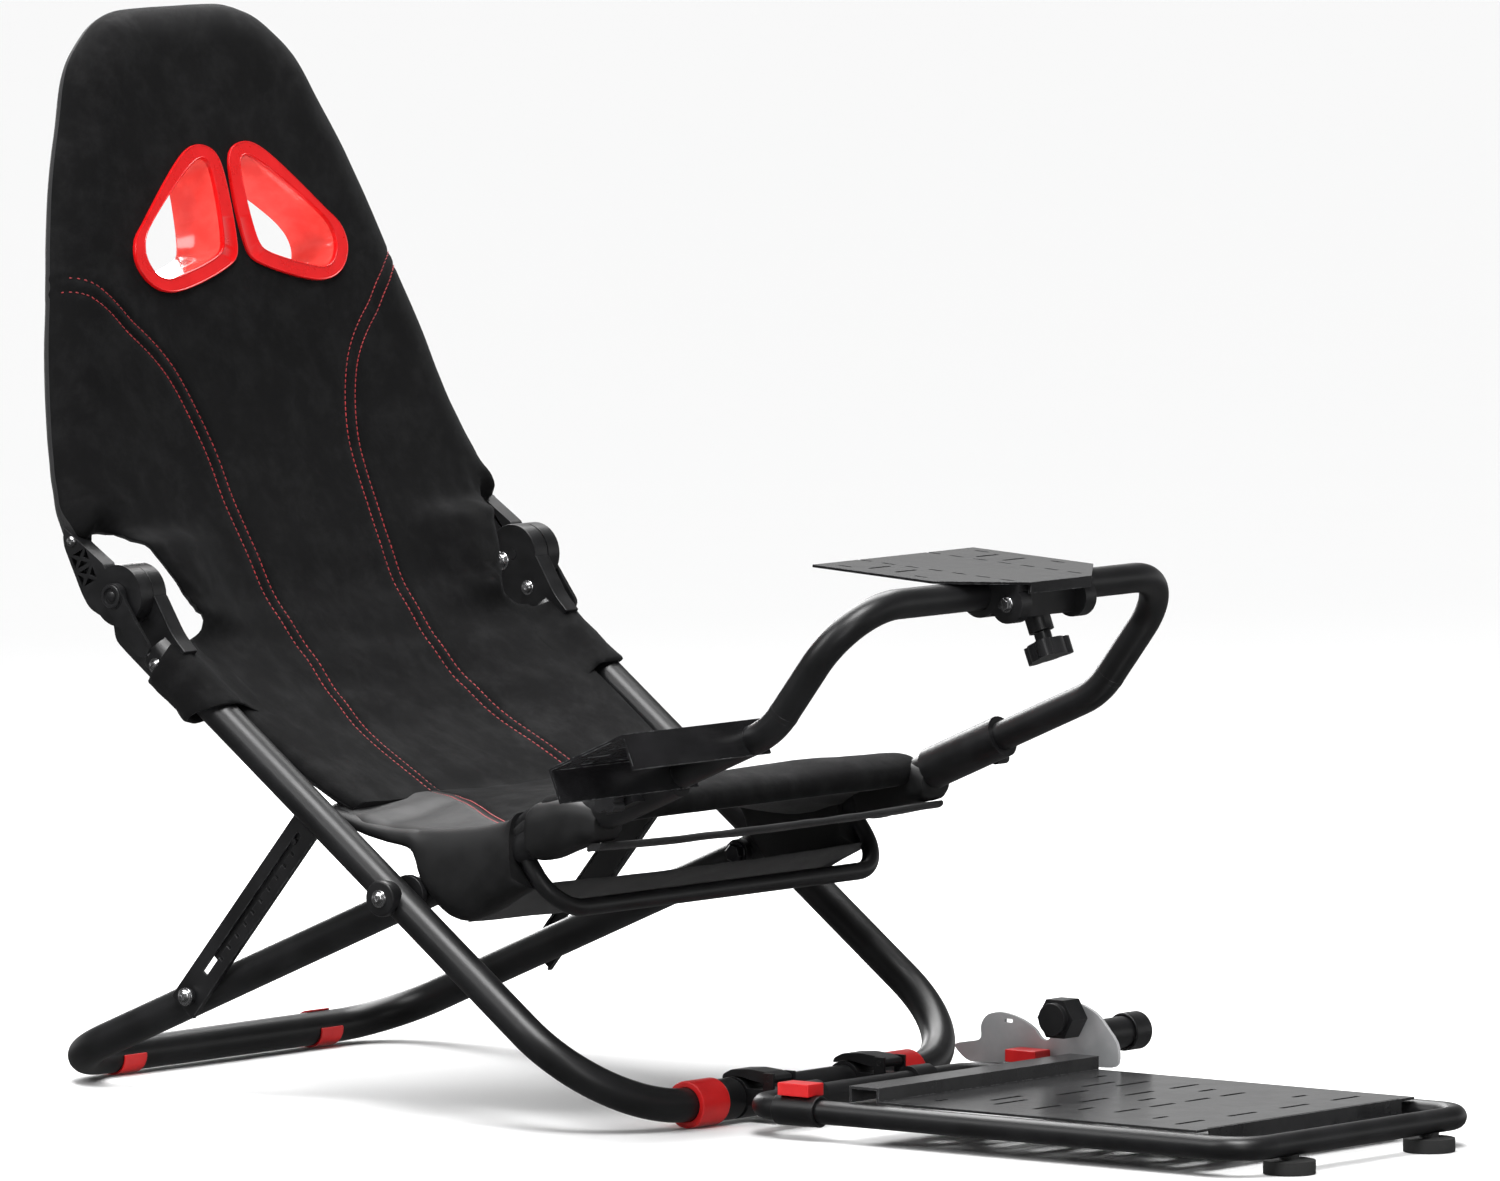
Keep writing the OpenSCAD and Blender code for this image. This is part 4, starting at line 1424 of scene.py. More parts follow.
    def skin(self, verts: list[Vector], faces: list[list[int]], holes: list[list[Vector]]) -> Draft:
        """Raises flat triangles to the face and the rear, and closes them with walls around the holes.

        Args:
            verts: Places as (t, y).
            faces: Triangles between them.
            holes: Loops that stay open.

        Returns:
            The drawn pad.
        """
        draft = Draft()
        gap = [self.rim_field.distance(v) for v in verts]
        on_rim = [g < 0.05 for g in gap]
        front = [draft.bm.verts.new(self.place(*v, self.depth(*v, g, False))) for v, g in zip(verts, gap)]
        rear = [front[i] if on_rim[i] else draft.bm.verts.new(self.place(*v, self.depth(*v, gap[i], True)))
                for i, v in enumerate(verts)]
        border: dict[tuple[int, int], None] = {}
        for face in faces:
            middle = sum((verts[i] for i in face), Vector((0, 0))) / len(face)
            if self.in_hole(middle, holes) or all(on_rim[i] for i in face):
                continue
            for a, b in zip(face, face[1:] + face[:1]):
                border[(a, b)] = None
            draft.bm.faces.new([front[i] for i in face]).material_index = 2 * self.side(*middle)
            draft.bm.faces.new([rear[i] for i in face[::-1]]).material_index = 1
        for a, b in border:
            if (b, a) not in border and not (on_rim[a] and on_rim[b]):
                wall = dict.fromkeys([front[b], front[a], rear[a], rear[b]])
                draft.bm.faces.new(list(wall)).material_index = 1
        return draft

    @staticmethod
    def in_hole(p: Vector, holes: list[list[Vector]]) -> bool:
        """Whether a place lies in one of the holes."""
        return any(enclosed(p, list(zip(hole, hole[-1:] + hole[:-1]))) for hole in holes)

    def surface(self, t: float, y: float, edge: float = 999.0, lift: float = 0.0) -> tuple[Vector, Vector]:
        """A point on the face and its outward direction, for things sewn onto it.

        Args:
            t: Place along the profile.
            y: Place across, in millimetres.
            edge: Distance from the outline.
            lift: Distance off the face.

        Returns:
            The point and the direction.
        """
        here = self.place(t, y, self.depth(t, y, edge, False) - lift)
        along = self.place(t + 1.5, y, self.depth(t + 1.5, y, edge, False)) - here
        across = self.place(t, y + 1.5, self.depth(t, y + 1.5, edge, False)) - here
        out = along.cross(across)
        _, side = self.spot(t)
        if out.x * side.x + out.z * side.y < 0:
            out = -out
        return here, out.normalized()


def sew(name: str, pad: Pad, lines: Sequence[Sequence[Vector | Point2]]) -> bpy.types.Object:
    """Sews the twin rows of red stitches along a pad's seams.

    Args:
        name: The piece's name.
        pad: The pad, already built.
        lines: The seams as (t, y), with points one stitch apart.

    Returns:
        The piece, which rides on no body.
    """
    part = stitch()
    spots = []
    for points in lines:
        line = SeamLine([Vector(p) for p in points])
        for row in (-pad.twin, pad.twin):
            moved = line.offset(row)
            for p, q in zip(moved, moved[1:]):
                middle = (p + q) / 2
                edge = pad.rim_field.distance(middle)
                if edge < 4 or not pad.rim_field.inside(middle):
                    continue
                here, out = pad.surface(middle.x, middle.y, edge, 0.2)
                ahead, _ = pad.surface(q.x, q.y, max(pad.rim_field.distance(q), 0.5))
                spots.append((here, out, ahead - here))
    return scatter(name, None, part, spots, THREAD, spread=0.05)


@dataclass
class SlingSeat:
    """Backrest, lower sling and seat: the fabric of the cockpit, with its seams and windows."""

    thick_back: float = 46.0
    # Face of the backrest and sling seen from the side, from the top down
    face: tuple[Point2, ...] = ((143, 462), (166, 436), (200, 406), (240, 377), (280, 348), (320, 321), (350, 302))
    # Half outline as (t, y), from the middle of the top to the middle of the crease
    edge: tuple[Point2, ...] = (
        (553, 0), (553, 40), (551, 78), (542, 108), (524, 135), (500, 160), (450, 186), (400, 210), (341, 232),
        (283, 250), (232, 267), (185, 280), (150, 290), (119, 299), (92, 305), (68, 309), (57, 308), (51, 301),
        (54, 291), (56, 282), (50, 273), (40, 266), (28, 259), (14, 251), (-7, 243), (-25, 236), (-43, 229),
        (-56, 223), (-65, 230), (-70, 246), (-73, 262), (-80, 269), (-100, 270), (-150, 269), (-200, 268),
        (-250, 265), (-290, 258), (-318, 250))
    # Red twin seams as (t, y)
    seam: tuple[Point2, ...] = (
        (293, 268), (291, 242), (283, 223), (273, 211), (258, 195), (243, 181), (229, 165), (212, 148), (196, 136),
        (177, 126), (151, 116), (131, 110), (110, 106), (70, 103), (20, 99), (-15, 97), (-60, 95), (-110, 94),
        (-160, 98), (-205, 103), (-255, 108), (-310, 112))
    # Inner and outer edges of the far window and a point inside both, as (y, s) in the backrest's plane
    window: tuple[Point2, ...] = ((22, 388), (27, 397), (38, 398), (128, 336), (139, 322), (141, 307), (131, 290),
                                  (115, 285), (101, 287), (32, 307), (26, 316))
    rim: tuple[Point2, ...] = ((6, 394), (14, 406), (34, 412), (56, 406), (135, 341), (153, 324), (157, 303),
                               (143, 282), (113, 272), (28, 291), (10, 301), (5, 318))
    window_middle: Point2 = (76, 336)
    # Section of a sleeve around a front leg, as (out from its axis, up from it), from the face round to the rear
    sleeve: tuple[Point2, ...] = (
        (-60, 6), (-40, 8.6), (-26, 12), (-13, 17), (0, 20), (12, 17.5), (20, 11), (25, 0), (25, -11), (18.5, -21),
        (7, -27), (-6, -26), (-16, -18), (-20, -8), (-27, -3), (-40, -4), (-60, -6), (-64, 0))
    # Length of a sleeve, and its stations as (distance from its lower end, size), with both ends turned in
    sleeve_length: float = 83.5
    sleeve_stations: tuple[Point2, ...] = (
        (10, 0.80), (3, 0.83), (0, 0.93), (0.5, 1.0), (4, 1.035), (10, 1.02), (24, 0.99), (42, 1.0), (60, 1.01),
        (74, 1.03), (80, 1.03), (83, 0.99), (83.5, 0.93), (80, 0.84), (74, 0.80))
    # Seat from the rear edge to the front: its face seen from the side, half outline and half seam as (t, y)
    seat_face: tuple[Point2, ...] = ((322, 282), (345, 290), (390, 293), (436, 296), (507, 301), (578, 311),
                                     (614, 315.5), (640, 312), (655, 303), (661, 290))
    seat_edge: tuple[Point2, ...] = (
        (0, 0), (0, 120), (2, 200), (7, 240), (20, 252), (50, 260), (120, 262), (200, 262), (262, 262), (318, 261),
        (338, 255), (349, 238), (352, 200), (352, 120), (352, 0))
    seat_seam: tuple[Point2, ...] = ((6, 109), (40, 120), (80, 138), (120, 162), (160, 190), (200, 221), (236, 262))
    # Seat tunnels beside the seat and under its front edge, as (x, top, bottom) along the legs
    flank: tuple[Point3, ...] = (
        (352, 284, 273), (372, 279, 266), (390, 274, 260), (416, 270, 255), (448, 270, 249), (455, 270, 238),
        (460, 271, 223), (474, 272, 204), (490, 273, 191), (507, 275, 187), (530, 278, 194), (560, 285, 209),
        (586, 292, 222))
    front: tuple[Point3, ...] = ((588, 294, 257), (588.5, 299, 252), (594, 303, 249.5), (606, 306, 250),
                                 (630, 309, 259), (655, 306, 268), (668, 303, 271), (670, 299, 275))
    # Straps under the seat: rear and front edge as (x, z), half width and thickness
    straps: tuple[tuple[Point2, Point2, int, float], ...] = (((505, 186), (592, 227), 250, 5),
                                                             ((656, 264), (672, 268), 262, 7))

    def back_profile(self) -> list[Vector]:
        """The face of the backrest and sling, seen from the side.

        Returns:
            Points as (x, z), from the top down.
        """
        line = []
        for s, ahead in ((560, 0), (450, 0), (350, 0), (250, 0), (180, 0), (150, 1.5), (115, 5), (80, 10), (50, 17),
                         (20, 24)):
            p = on_back(0, s, self.thick_back / 2)
            line.append(Vector((p.x + ahead, p.z)))
        return smooth_line(line + [Vector(p) for p in self.face], 4.0)

    @staticmethod
    def fade(outer: Sequence[Point2], inner: Sequence[Point2], t: float, y: float) -> float:
        """A value that follows one table at the hinges and another one nearer the middle.

        Args:
            outer: The table that holds at the hinges.
            inner: The table that holds in the middle.
            t: Place along the profile.
            y: Place across, in millimetres.

        Returns:
            The value.
        """
        share = min(1.0, max(0.0, (abs(y) - 266) / 22))
        return table(outer, t) * share + table(inner, t) * (1 - share)

    @staticmethod
    def sag(t: float, y: float) -> float:
        """How far the hanging middle lies below the line of the sides.

        Args:
            t: Place along the profile.
            y: Place across, in millimetres.

        Returns:
            The depth in millimetres.
        """
        middle = table(((-330, 6), (-290, 12), (-190, 20), (-150, 17), (-100, 8), (-50, 2), (20, 0)), t)
        across = max(0.0, 1 - max(0.0, abs(y) - 60) / 190)
        ahead = table(((-78, 0), (-50, 16), (-10, 19), (22, 17), (52, 0)), t) * table(((130, 0), (222, 1)), abs(y))
        return middle * across * across * (3 - 2 * across) - ahead

    @staticmethod
    def ripple(t: float, y: float) -> float:
        """Soft unevenness and pulls of the fabric.

        Args:
            t: Place along the profile.
            y: Place across, in millimetres.

        Returns:
            The depth in millimetres.
        """
        slow = noise.noise(Vector((t / 95, y / 95, 3.1))) * 1.3 + noise.noise(Vector((t / 38, y / 38, 8.7))) * 0.45
        pull = 0.0
        for t0, y0 in ((-40, 225), (44, 272)):
            away = math.hypot(t - t0, abs(y) - y0)
            pull += 1.6 * math.exp(-away / 38) * math.sin(0.09 * away * 2 + 5 * math.atan2(t - t0, abs(y) - y0))
        fold = 1.6 * math.exp(-(((t + 300) / 22) ** 2)) * noise.noise(Vector((y / 26, 1.7, t / 60)))
        return slow + pull + fold

    def half_to_full(self, half: Sequence[Point2], step: float) -> list[Point2]:
        """Rounds a half outline and closes it with its mirror image.

        Args:
            half: The half outline, as (t, y), from one end of the middle line to the other.
            step: Distance between its points.

        Returns:
            The whole outline.
        """
        line = smooth_line(half, step)
        full = line + [Vector((p.x, -p.y)) for p in line[-1:0:-1]]
        return [(p.x, p.y) for p in full]

    def window_loop(self, grow: float, step: float = 4.5) -> list[Vector]:
        """The far window's edge between its inner edge (0) and its rim's outer edge (1).

        Args:
            grow: Place between the two edges.
            step: Distance between the points.

        Returns:
            Points as (y, s) in the backrest's plane.
        """
        inner = smooth_line(self.window, 2.0, closed=True)
        outer = smooth_line(self.rim, 2.0, closed=True)
        middle = Vector(self.window_middle)
        loop = []
        for a in circle(88):
            way = Vector((math.cos(a), math.sin(a)))
            loop.append(middle + way * (self.reach(inner, middle, way) * (1 - grow)
                                        + self.reach(outer, middle, way) * grow))
        return even_steps(loop + loop[:1], step, closed=True)

    @staticmethod
    def reach(loop: list[Vector], middle: Vector, way: Vector) -> float:
        """Distance from the middle to a loop along a direction.

        Args:
            loop: Corners of the loop.
            middle: A point inside it.
            way: The direction, one long.

        Returns:
            The distance, or 0 where the loop is missed.
        """
        for a, b in zip(loop, loop[1:] + loop[:1]):
            d = b - a
            cross = way.x * d.y - way.y * d.x
            if abs(cross) < 1e-9:
                continue
            m = a - middle
            along, share = (m.x * d.y - m.y * d.x) / cross, (m.x * way.y - m.y * way.x) / cross
            if along > 0 and -1e-6 <= share <= 1 + 1e-6:
                return along
        return 0.0

    def build_back(self) -> None:
        """Sews the backrest and lower sling."""
        hole = self.window_loop(0.45)
        holes = [[(p.y, side * p.x) for p in hole] for side in (1, -1)]
        seams = [[(p.x, side * p.y) for p in smooth_line(self.seam, 5.0)] for side in (1, -1)]
        self.back = Pad(
            profile=self.back_profile(), t_start=560, outline=self.half_to_full(self.edge, 5.0), holes=holes,
            seams=seams,
            thick=lambda t, y: self.fade(
                ((-320, 14), (-90, 16), (-30, 12), (26, 14), (56, self.thick_back + 1)),
                ((-320, 14), (-90, 16), (-30, 12), (26, 13), (56, 20), (100, 40), (125, 47)), t, y),
            seam=lambda t, y: self.fade(
                ((-320, 7), (-90, 8), (-40, 4), (26, 5), (56, 24), (90, 33)),
                ((-320, 7), (-90, 8), (-40, 4), (26, 5), (56, 9), (100, 24), (125, 33)), t, y),
            round_face=lambda t, y: table(
                ((-100, 12), (-20, 10), (30, 12), (60, 30), (110, 48), (420, 52), (553, 44)), t),
            dip=lambda t, y: self.sag(t, y) + self.ripple(t, y))
        draft = self.back.build()
        piece = draft.finish("backrest_and_sling", None, (SUEDE, BAND), smooth=60)
        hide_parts("backrest_cushion", "lower_back_sling")
        at(*self.back.place(30, 0, 0))
        at(*self.back.place(-62, 0, 0))
        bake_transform(piece)

    def sew(self) -> None:
        """Adds the red twin stitches of the backrest and sling."""
        lines = [smooth_line([(t, side * y) for t, y in self.seam], 5.6) for side in (1, -1)]
        piece = sew("back_stitches", self.back, lines)
        at(*self.back.place(30, 0, 0))
        at(*self.back.place(-62, 0, 0))
        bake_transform(piece)

    def build_windows(self) -> None:
        """Makes the two red window mouldings: a flat ring with fine rolled edges and a glossy tapered wall, whose
        lighter red is a painted reflection.
        """
        half = self.thick_back / 2
        count = 128
        # Section of the ring and wall, as (share of the way from the window's edge to the rim's, forward)
        steps = ((0.97, half - 5), (1.0, half - 1.0), (1.0, half + 2.4), (0.975, half + 3.1), (0.93, half + 3.3),
                 (0.90, half + 2.9), (0.12, half + 2.9), (0.09, half + 3.3), (0.04, half + 3.3), (0.0, half + 2.8),
                 (-0.02, half + 1.6), (-0.03, half - 1.0), (-0.07, half - 4.0), (-0.5, -half - 1.0),
                 (-0.44, -half - 3.4), (0.12, -half - 4.2), (0.55, -half - 3.6), (0.74, -half - 2.0),
                 (0.72, -half + 1.0), (0.30, -half + 1.5), (0.26, half - 5.5), (0.80, half - 5.5))
        for side in Side:
            draft = Draft()
            rings = []
            for grow, n in steps:
                loop = self.window_loop(grow, 3.2)
                length = sum((a - b).length for a, b in zip(loop, loop[1:] + loop[:1]))
                loop = even_steps(loop + loop[:1], length / count, closed=True)[:count]
                rings.append(draft.ring([on_back(side.value * p.x, p.y, n) for p in loop]))
            size = min(len(r) for r in rings)
            rings = [r[:size] for r in rings]
            draft.bridge(rings[:12], cap=False)
            # The wall wears the lighter red of the painted reflection
            draft.bridge(rings[11:15], cap=False, mat=1)
            draft.bridge(rings[14:] + rings[:1], cap=False)
            name = side.name.lower()
            draft.finish("window_bezel_" + name, "backrest", (RED_GLOSS, RED_WALL_PAINTED_REFLECTION), ["bezel_" + name], smooth=35)

    def build_sleeves(self) -> None:
        """Sews the sling's corners, which fold over the tops of the front legs and back underneath."""
        section = smooth_line(self.sleeve, 3.2, closed=True)
        draft = Draft()
        for side in Side:
            rings = []
            for along, size in self.sleeve_stations:
                ring = []
                for p in section:
                    angle = math.atan2(p.y, p.x)
                    around = (2.4 * math.cos(angle), 2.4 * math.sin(angle) + side.value)
                    slow = 0.9 * noise.noise(Vector((along / 17, *around)))
                    inner = max(0.0, -p.x - 22)
                    low = 566 + 12 * (1 - p.y / 22) + 3 * max(0.0, p.x / 26) - 0.5 * inner
                    high = 660 + 0.2 * inner - 0.5 * max(0.0, p.x)
                    u = low + (high - low) * along / self.sleeve_length
                    grow = size if inner == 0 else 1 - (1 - size) * max(0.0, 1 - inner / 20)
                    up = p.y * grow + slow * (1 if p.y > 0 else -1)
                    ring.append(on_front_leg(u, side.value, p.x * grow + slow, up))
                rings.append(draft.ring(ring))
            draft.bridge(rings)
        draft.finish("sling_sleeves", "front_frame", (SUEDE,), smooth=60)

    def build_seat(self) -> None:
        """Sews the seat pad, its side sleeves over the rear legs, its front band and its underside."""
        line = smooth_line(self.seat_face, 4.0)
        # The outline's own length, from the rear edge to the front, is stretched to the profile's
        scale = sum((q - p).length for p, q in zip(line, line[1:])) / self.seat_edge[-1][0]
        outline = self.half_to_full([(-t * scale, y) for t, y in self.seat_edge], 6.0)
        half_seam = smooth_line(self.seat_seam, 5.0)
        seam = [[(-p.x * scale, side * p.y) for p in half_seam] for side in (1, -1)]
        across = [(-p.x * scale, p.y) for p in half_seam][::-1]
        self.seat = Pad(
            profile=line, t_start=0, outline=outline, seams=seam,
            thick=lambda t, y: table(((-400, 26), (-300, 30), (-200, 26), (-130, 20), (-60, 16), (0, 14)), t),
            seam=lambda t, y: table(((-400, 12), (-200, 12), (-60, 9), (0, 8)), t),
            round_face=lambda t, y: 20.0, round_rear=12.0, dip=self.seat_dip, twin=3.2,
            side=lambda t, y: t > across[0][0] and abs(y) > table(across, t))
        draft = self.seat.build()
        piece = draft.finish("seat_pad", None, (SUEDE, BAND, FLANK), smooth=60)
        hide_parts("seat_cushion")
        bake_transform(piece)
        sewn = sew("seat_stitches", self.seat, seam)
        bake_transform(sewn)
        self.build_leg_tunnels()

    @staticmethod
    def seat_dip(t: float, y: float) -> float:
        """Hollow of the seat, the fall of its flanks towards the legs and its soft unevenness.

        Args:
            t: Place along the profile.
            y: Place across, in millimetres.

        Returns:
            The depth in millimetres.
        """
        hollow = table(((-360, 0), (-300, 2), (-180, 5), (-60, 6), (0, 3)), t) * max(0.0, 1 - (y / 150) ** 2)
        share = min(1.0, max(0.0, (abs(y) - 95) / 145))
        fall = ((-325, 0), (-285, 4), (-262, 12), (-240, 21), (-210, 26), (-160, 26), (-95, 22), (-60, 12), (-24, 2),
                (0, 0))
        hollow += share * share * (3 - 2 * share) * table(fall, t)
        slow = noise.noise(Vector((t / 80, y / 80, 5.3))) * 1.6 + noise.noise(Vector((t / 30, y / 30, 2.2))) * 0.5
        fold = 1.8 * math.exp(-((t / 26) ** 2)) * noise.noise(Vector((y / 24, 4.1, 0.3)))
        return hollow + slow + fold

    def build_leg_tunnels(self) -> None:
        """Sews the tunnels that hold the seat on the rear legs, as closed cloth loops around the tubes."""
        draft = Draft()
        tan = math.tan(math.radians(REAR_TILT))
        for side, stations in itertools.product(Side, (self.flank, self.front)):
            rings = []
            for x, top, low in smooth_line(stations, 6.0):
                axis = REAR_Z + x * tan
                mid, tall = (top + low) / 2, (top - low) / 2
                ring = []
                for a in circle(40):
                    c, s = math.cos(a), math.sin(a)
                    y = REAR_HALF + 21.0 * squared(c, 0.55)
                    z = mid + tall * squared(s, 0.7)
                    away = (z - axis) / 20
                    wave = 1.2 * noise.noise(Vector((x / 34, z / 30, side.value + c)))
                    y += math.copysign(1.0, c) * (wave - min(4.0, 1.6 * max(0.0, abs(away) - 1)))
                    back = table(((222, 0), (234, 1)), z) * max(0.0, x - 560) * 0.62 if stations is self.flank else 0.0
                    ring.append(Vector((x - back, side.value * y, z)))
                rings.append(draft.ring(ring))
            draft.bridge(rings)
        draft.finish("seat_leg_tunnels", "rear_frame", (FLANK,), smooth=60)
        strip = Draft()
        for (x0, z0), (x1, z1), wide, thick in self.straps:
            rows = []
            for y in range(-wide, wide + 1, 10):
                hang = 3.0 * (1 - (y / wide) ** 2)
                ring = []
                for a in circle(14):
                    share = 0.5 + 0.5 * squared(math.cos(a), 0.6)
                    lift = thick / 2 * squared(math.sin(a), 0.8)
                    wave = 0.8 * noise.noise(Vector((y / 40, share * 3, 6.4)))
                    ring.append(Vector((x0 + (x1 - x0) * share, y, z0 + (z1 - z0) * share + lift - hang + wave)))
                rows.append(strip.ring(ring))
            strip.bridge(rows)
        strip.finish("seat_under_straps", "rear_frame", (BAND,), smooth=50)


Coats = tuple[tuple[str, Finish, float], ...]


@dataclass
class Assembly:
    """A sub-assembly whose rigid pieces are rounded copies of CAD nodes."""

    # Node, finish and width of the rounded edges of each piece
    coats: Coats = ()

    def coat(self) -> None:
        """Coats the rigid pieces in order."""
        for node, finish, bevel in self.coats:
            refined(node, finish, bevel)


@dataclass
class Frames(Assembly):
    """The two crossed leg frames, their brace, clips, collars, couplers and crossing bolts."""

    coats: Coats = (
        ("rear_leg_frame", POWDER, 0.6), ("seat_brace", POWDER, 0.4), ("rear_foot_clips", RED, 0.6),
        ("pivot_spacers", BLACK, 0.8), ("arm_sleeves", BLACK, 1.0), ("front_leg_frame", POWDER, 0.8),
        ("ground_collars", RED, 1.2), ("tube_couplers", BLACK, 1.0), ("tube_clips", BLACK, 1.0),
        ("strut_channel_near", POWDER, 0.5), ("strut_bar_near", POWDER, 0.4),
        ("strut_channel_far", POWDER, 0.5), ("strut_bar_far", POWDER, 0.4))

    def build(self) -> None:
        """Coats the tubes and fits the plastics and bolts."""
        self.coat()
        heads, feet, inner = [], [], []
        caps = Draft()
        for side in Side:
            s = side.value
            out, turn = Vector((0, s, 0)), Vector((1, 0, 0.3))
            face = FRONT_HALF + LEG_D / 2
            caps.lathe(((-7, 15.5), (1, 17), (6.5, 17), (8.2, 16.2), (9, 14.6), (9, 0)),
                       Vector((CROSS_X, s * face, CROSS_Z)), out)
            heads.append((Vector((CROSS_X, s * (face + 9), CROSS_Z)), out, turn))
            feet.append((Vector((186, s * 275.6, 96.95)), out, turn))
            inner.append((Vector((CROSS_X, s * (REAR_HALF - LEG_D / 2 - 7), CROSS_Z)), -out, turn))
        caps.finish("crossing_caps", "rear_frame", (BLACK,), bevel=0.4)
        scatter("crossing_bolts", "rear_frame", pan_head(), heads, BRIGHT, size=1.35)
        scatter("strut_foot_bolts", "rear_frame", pan_head(), feet, BRIGHT, size=1.4)
        scatter("crossing_nuts", "rear_frame", hex_head(), inner, DARK_BOLT, size=1.7)


@dataclass
class ReclineHinges(Assembly):
    """The two ratchet hinges of the backrest with their levers and screws."""

    coats: Coats = (("recline_lever_near", BLACK, 1.0), ("recline_lever_far", BLACK, 1.0))
    # Section of a lever's hub, as (outwards, radius)
    hub: tuple[Point2, ...] = ((-3, 11), (1.4, 11), (2.0, 10.4), (2.0, 8.2), (0.2, 7.6), (0.2, 5.2), (1.6, 4.8),
                               (2.2, 4.0), (2.2, 0))

    def build(self) -> None:
        """Fits the hinge halves, levers and screws."""
        ca, sa = unit(FRONT_TILT)
        refined("hinge_lower_brackets", BLACK, 1.6, cut=(at(*on_front_leg(638, 1)), Vector((ca, 0, -sa))))
        ca, sa = unit(BACK_LEAN)
        top = on_back(0, 53, 0)
        refined("hinge_upper_brackets", BLACK, 1.0, cut=(at(*top), Vector((-sa, 0, ca))),
                taper=(at(122, 0, 504), at(88, 0, 524)))
        self.coat()
        for side in Side:
            node = "recline_lever_" + side.name.lower()
            low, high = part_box(node)
            face = (low.y if side is Side.NEAR else high.y) * 1000 + ORIGIN_Y
            hub = Draft()
            hub.lathe(self.hub, Vector((HINGE_X, face, HINGE_Z)), Vector((0, side.value, 0)))
            hub.finish(node + "_hub", FRAME["nodes"][node]["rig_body"], (BLACK,))
        head, pan = socket_head(), pan_head()
        upper, lower, pins = [], [], []
        turn = Vector((1, 0, 0.4))
        for side in Side:
            s = side.value
            out = Vector((0, s, 0))
            upper.append((Vector((HINGE_X - 56, s * 313.0, HINGE_Z + 48)), out, turn))
            lower.append((Vector((HINGE_X + 40, s * 306.2, HINGE_Z - 64)), out, turn))
            pins.append((Vector((HINGE_X - 13, s * 276.0, HINGE_Z - 7)), -out, turn))
            lower.append((Vector((HINGE_X + 19, s * 276.0, HINGE_Z - 31)), -out, turn))
        scatter("hinge_screws", "backrest", head, upper, BRIGHT, size=1.0)
        scatter("bracket_bolts", "front_frame", pan, lower, BRIGHT, size=1.15)
        scatter("hinge_bolts", "front_frame", pan, pins, BRIGHT, size=1.45)


@dataclass
class WheelStand(Assembly):
    """Telescoping arm, wheel plate with its clamp and knobs, and the shifter bracket."""

    coats: Coats = (
        ("steering_arm", POWDER, 0.4), ("shifter_bracket", PLATE, 0.5), ("wheel_plate", PLATE, 0.5),
        ("plate_clamp", BLACK, 1.4), ("plate_knob", GRIP, 2.0), ("sleeve_knob_near", GRIP, 1.4),
        ("sleeve_knob_far", GRIP, 1.4))

    def build(self) -> None:
        """Coats the arm and plates and fits the clamp's bolts."""
        self.coat()
        spots = [(on_bar(32, s * 57.2, -5), Vector((0, s, 0)), Vector((1, 0, 0))) for s in (-1, 1)]
        scatter("clamp_bolts", "wheel_mount", hex_head(), spots, BRIGHT, size=1.2)


@dataclass
class PedalDeck(Assembly):
    """Pedal frame, slotted plate, lock saddles, side bracket, tube and level feet."""

    coats: Coats = (
        ("pedal_frame", POWDER, 0.4), ("pedal_plate", DECK, 0.5), ("lock_saddles", BLACK, 1.0),
        ("lock_tabs", RED, 1.2), ("ear_plate", ZINC_PAINTED_REFLECTION, 0.6), ("side_tube", POWDER, 0.6), ("side_tube_cap", BLACK, 1.2),
        ("level_feet", RUBBER, 1.2), ("ear_knob", GRIP, 1.2), ("clip_lever_near", BLACK, 1.0),
        ("clip_lever_far", BLACK, 1.0))

    def build(self) -> None:
        """Coats the frame and plate and adds the rolled lip at the deck's front edge."""
        self.coat()
        low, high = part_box("pedal_plate")
        edge, top = high.x * 1000 + ORIGIN_X, low.z * 1000 + 2.5
        lip = Draft()
        outline = [(edge - 4, top - 2.2), (edge - 4, top), (edge - 1.2, top), (edge, top - 1.2),
                   (edge + 0.2, top - 17), (edge - 1.8, top - 17), (edge - 2, top - 2.2)]
        lip.prism([Vector((x, -148.0, z)) for x, z in outline], Vector((0, 296.0, 0)))
        lip.finish("deck_lip", "pedal_deck", (DECK,), bevel=0.4)


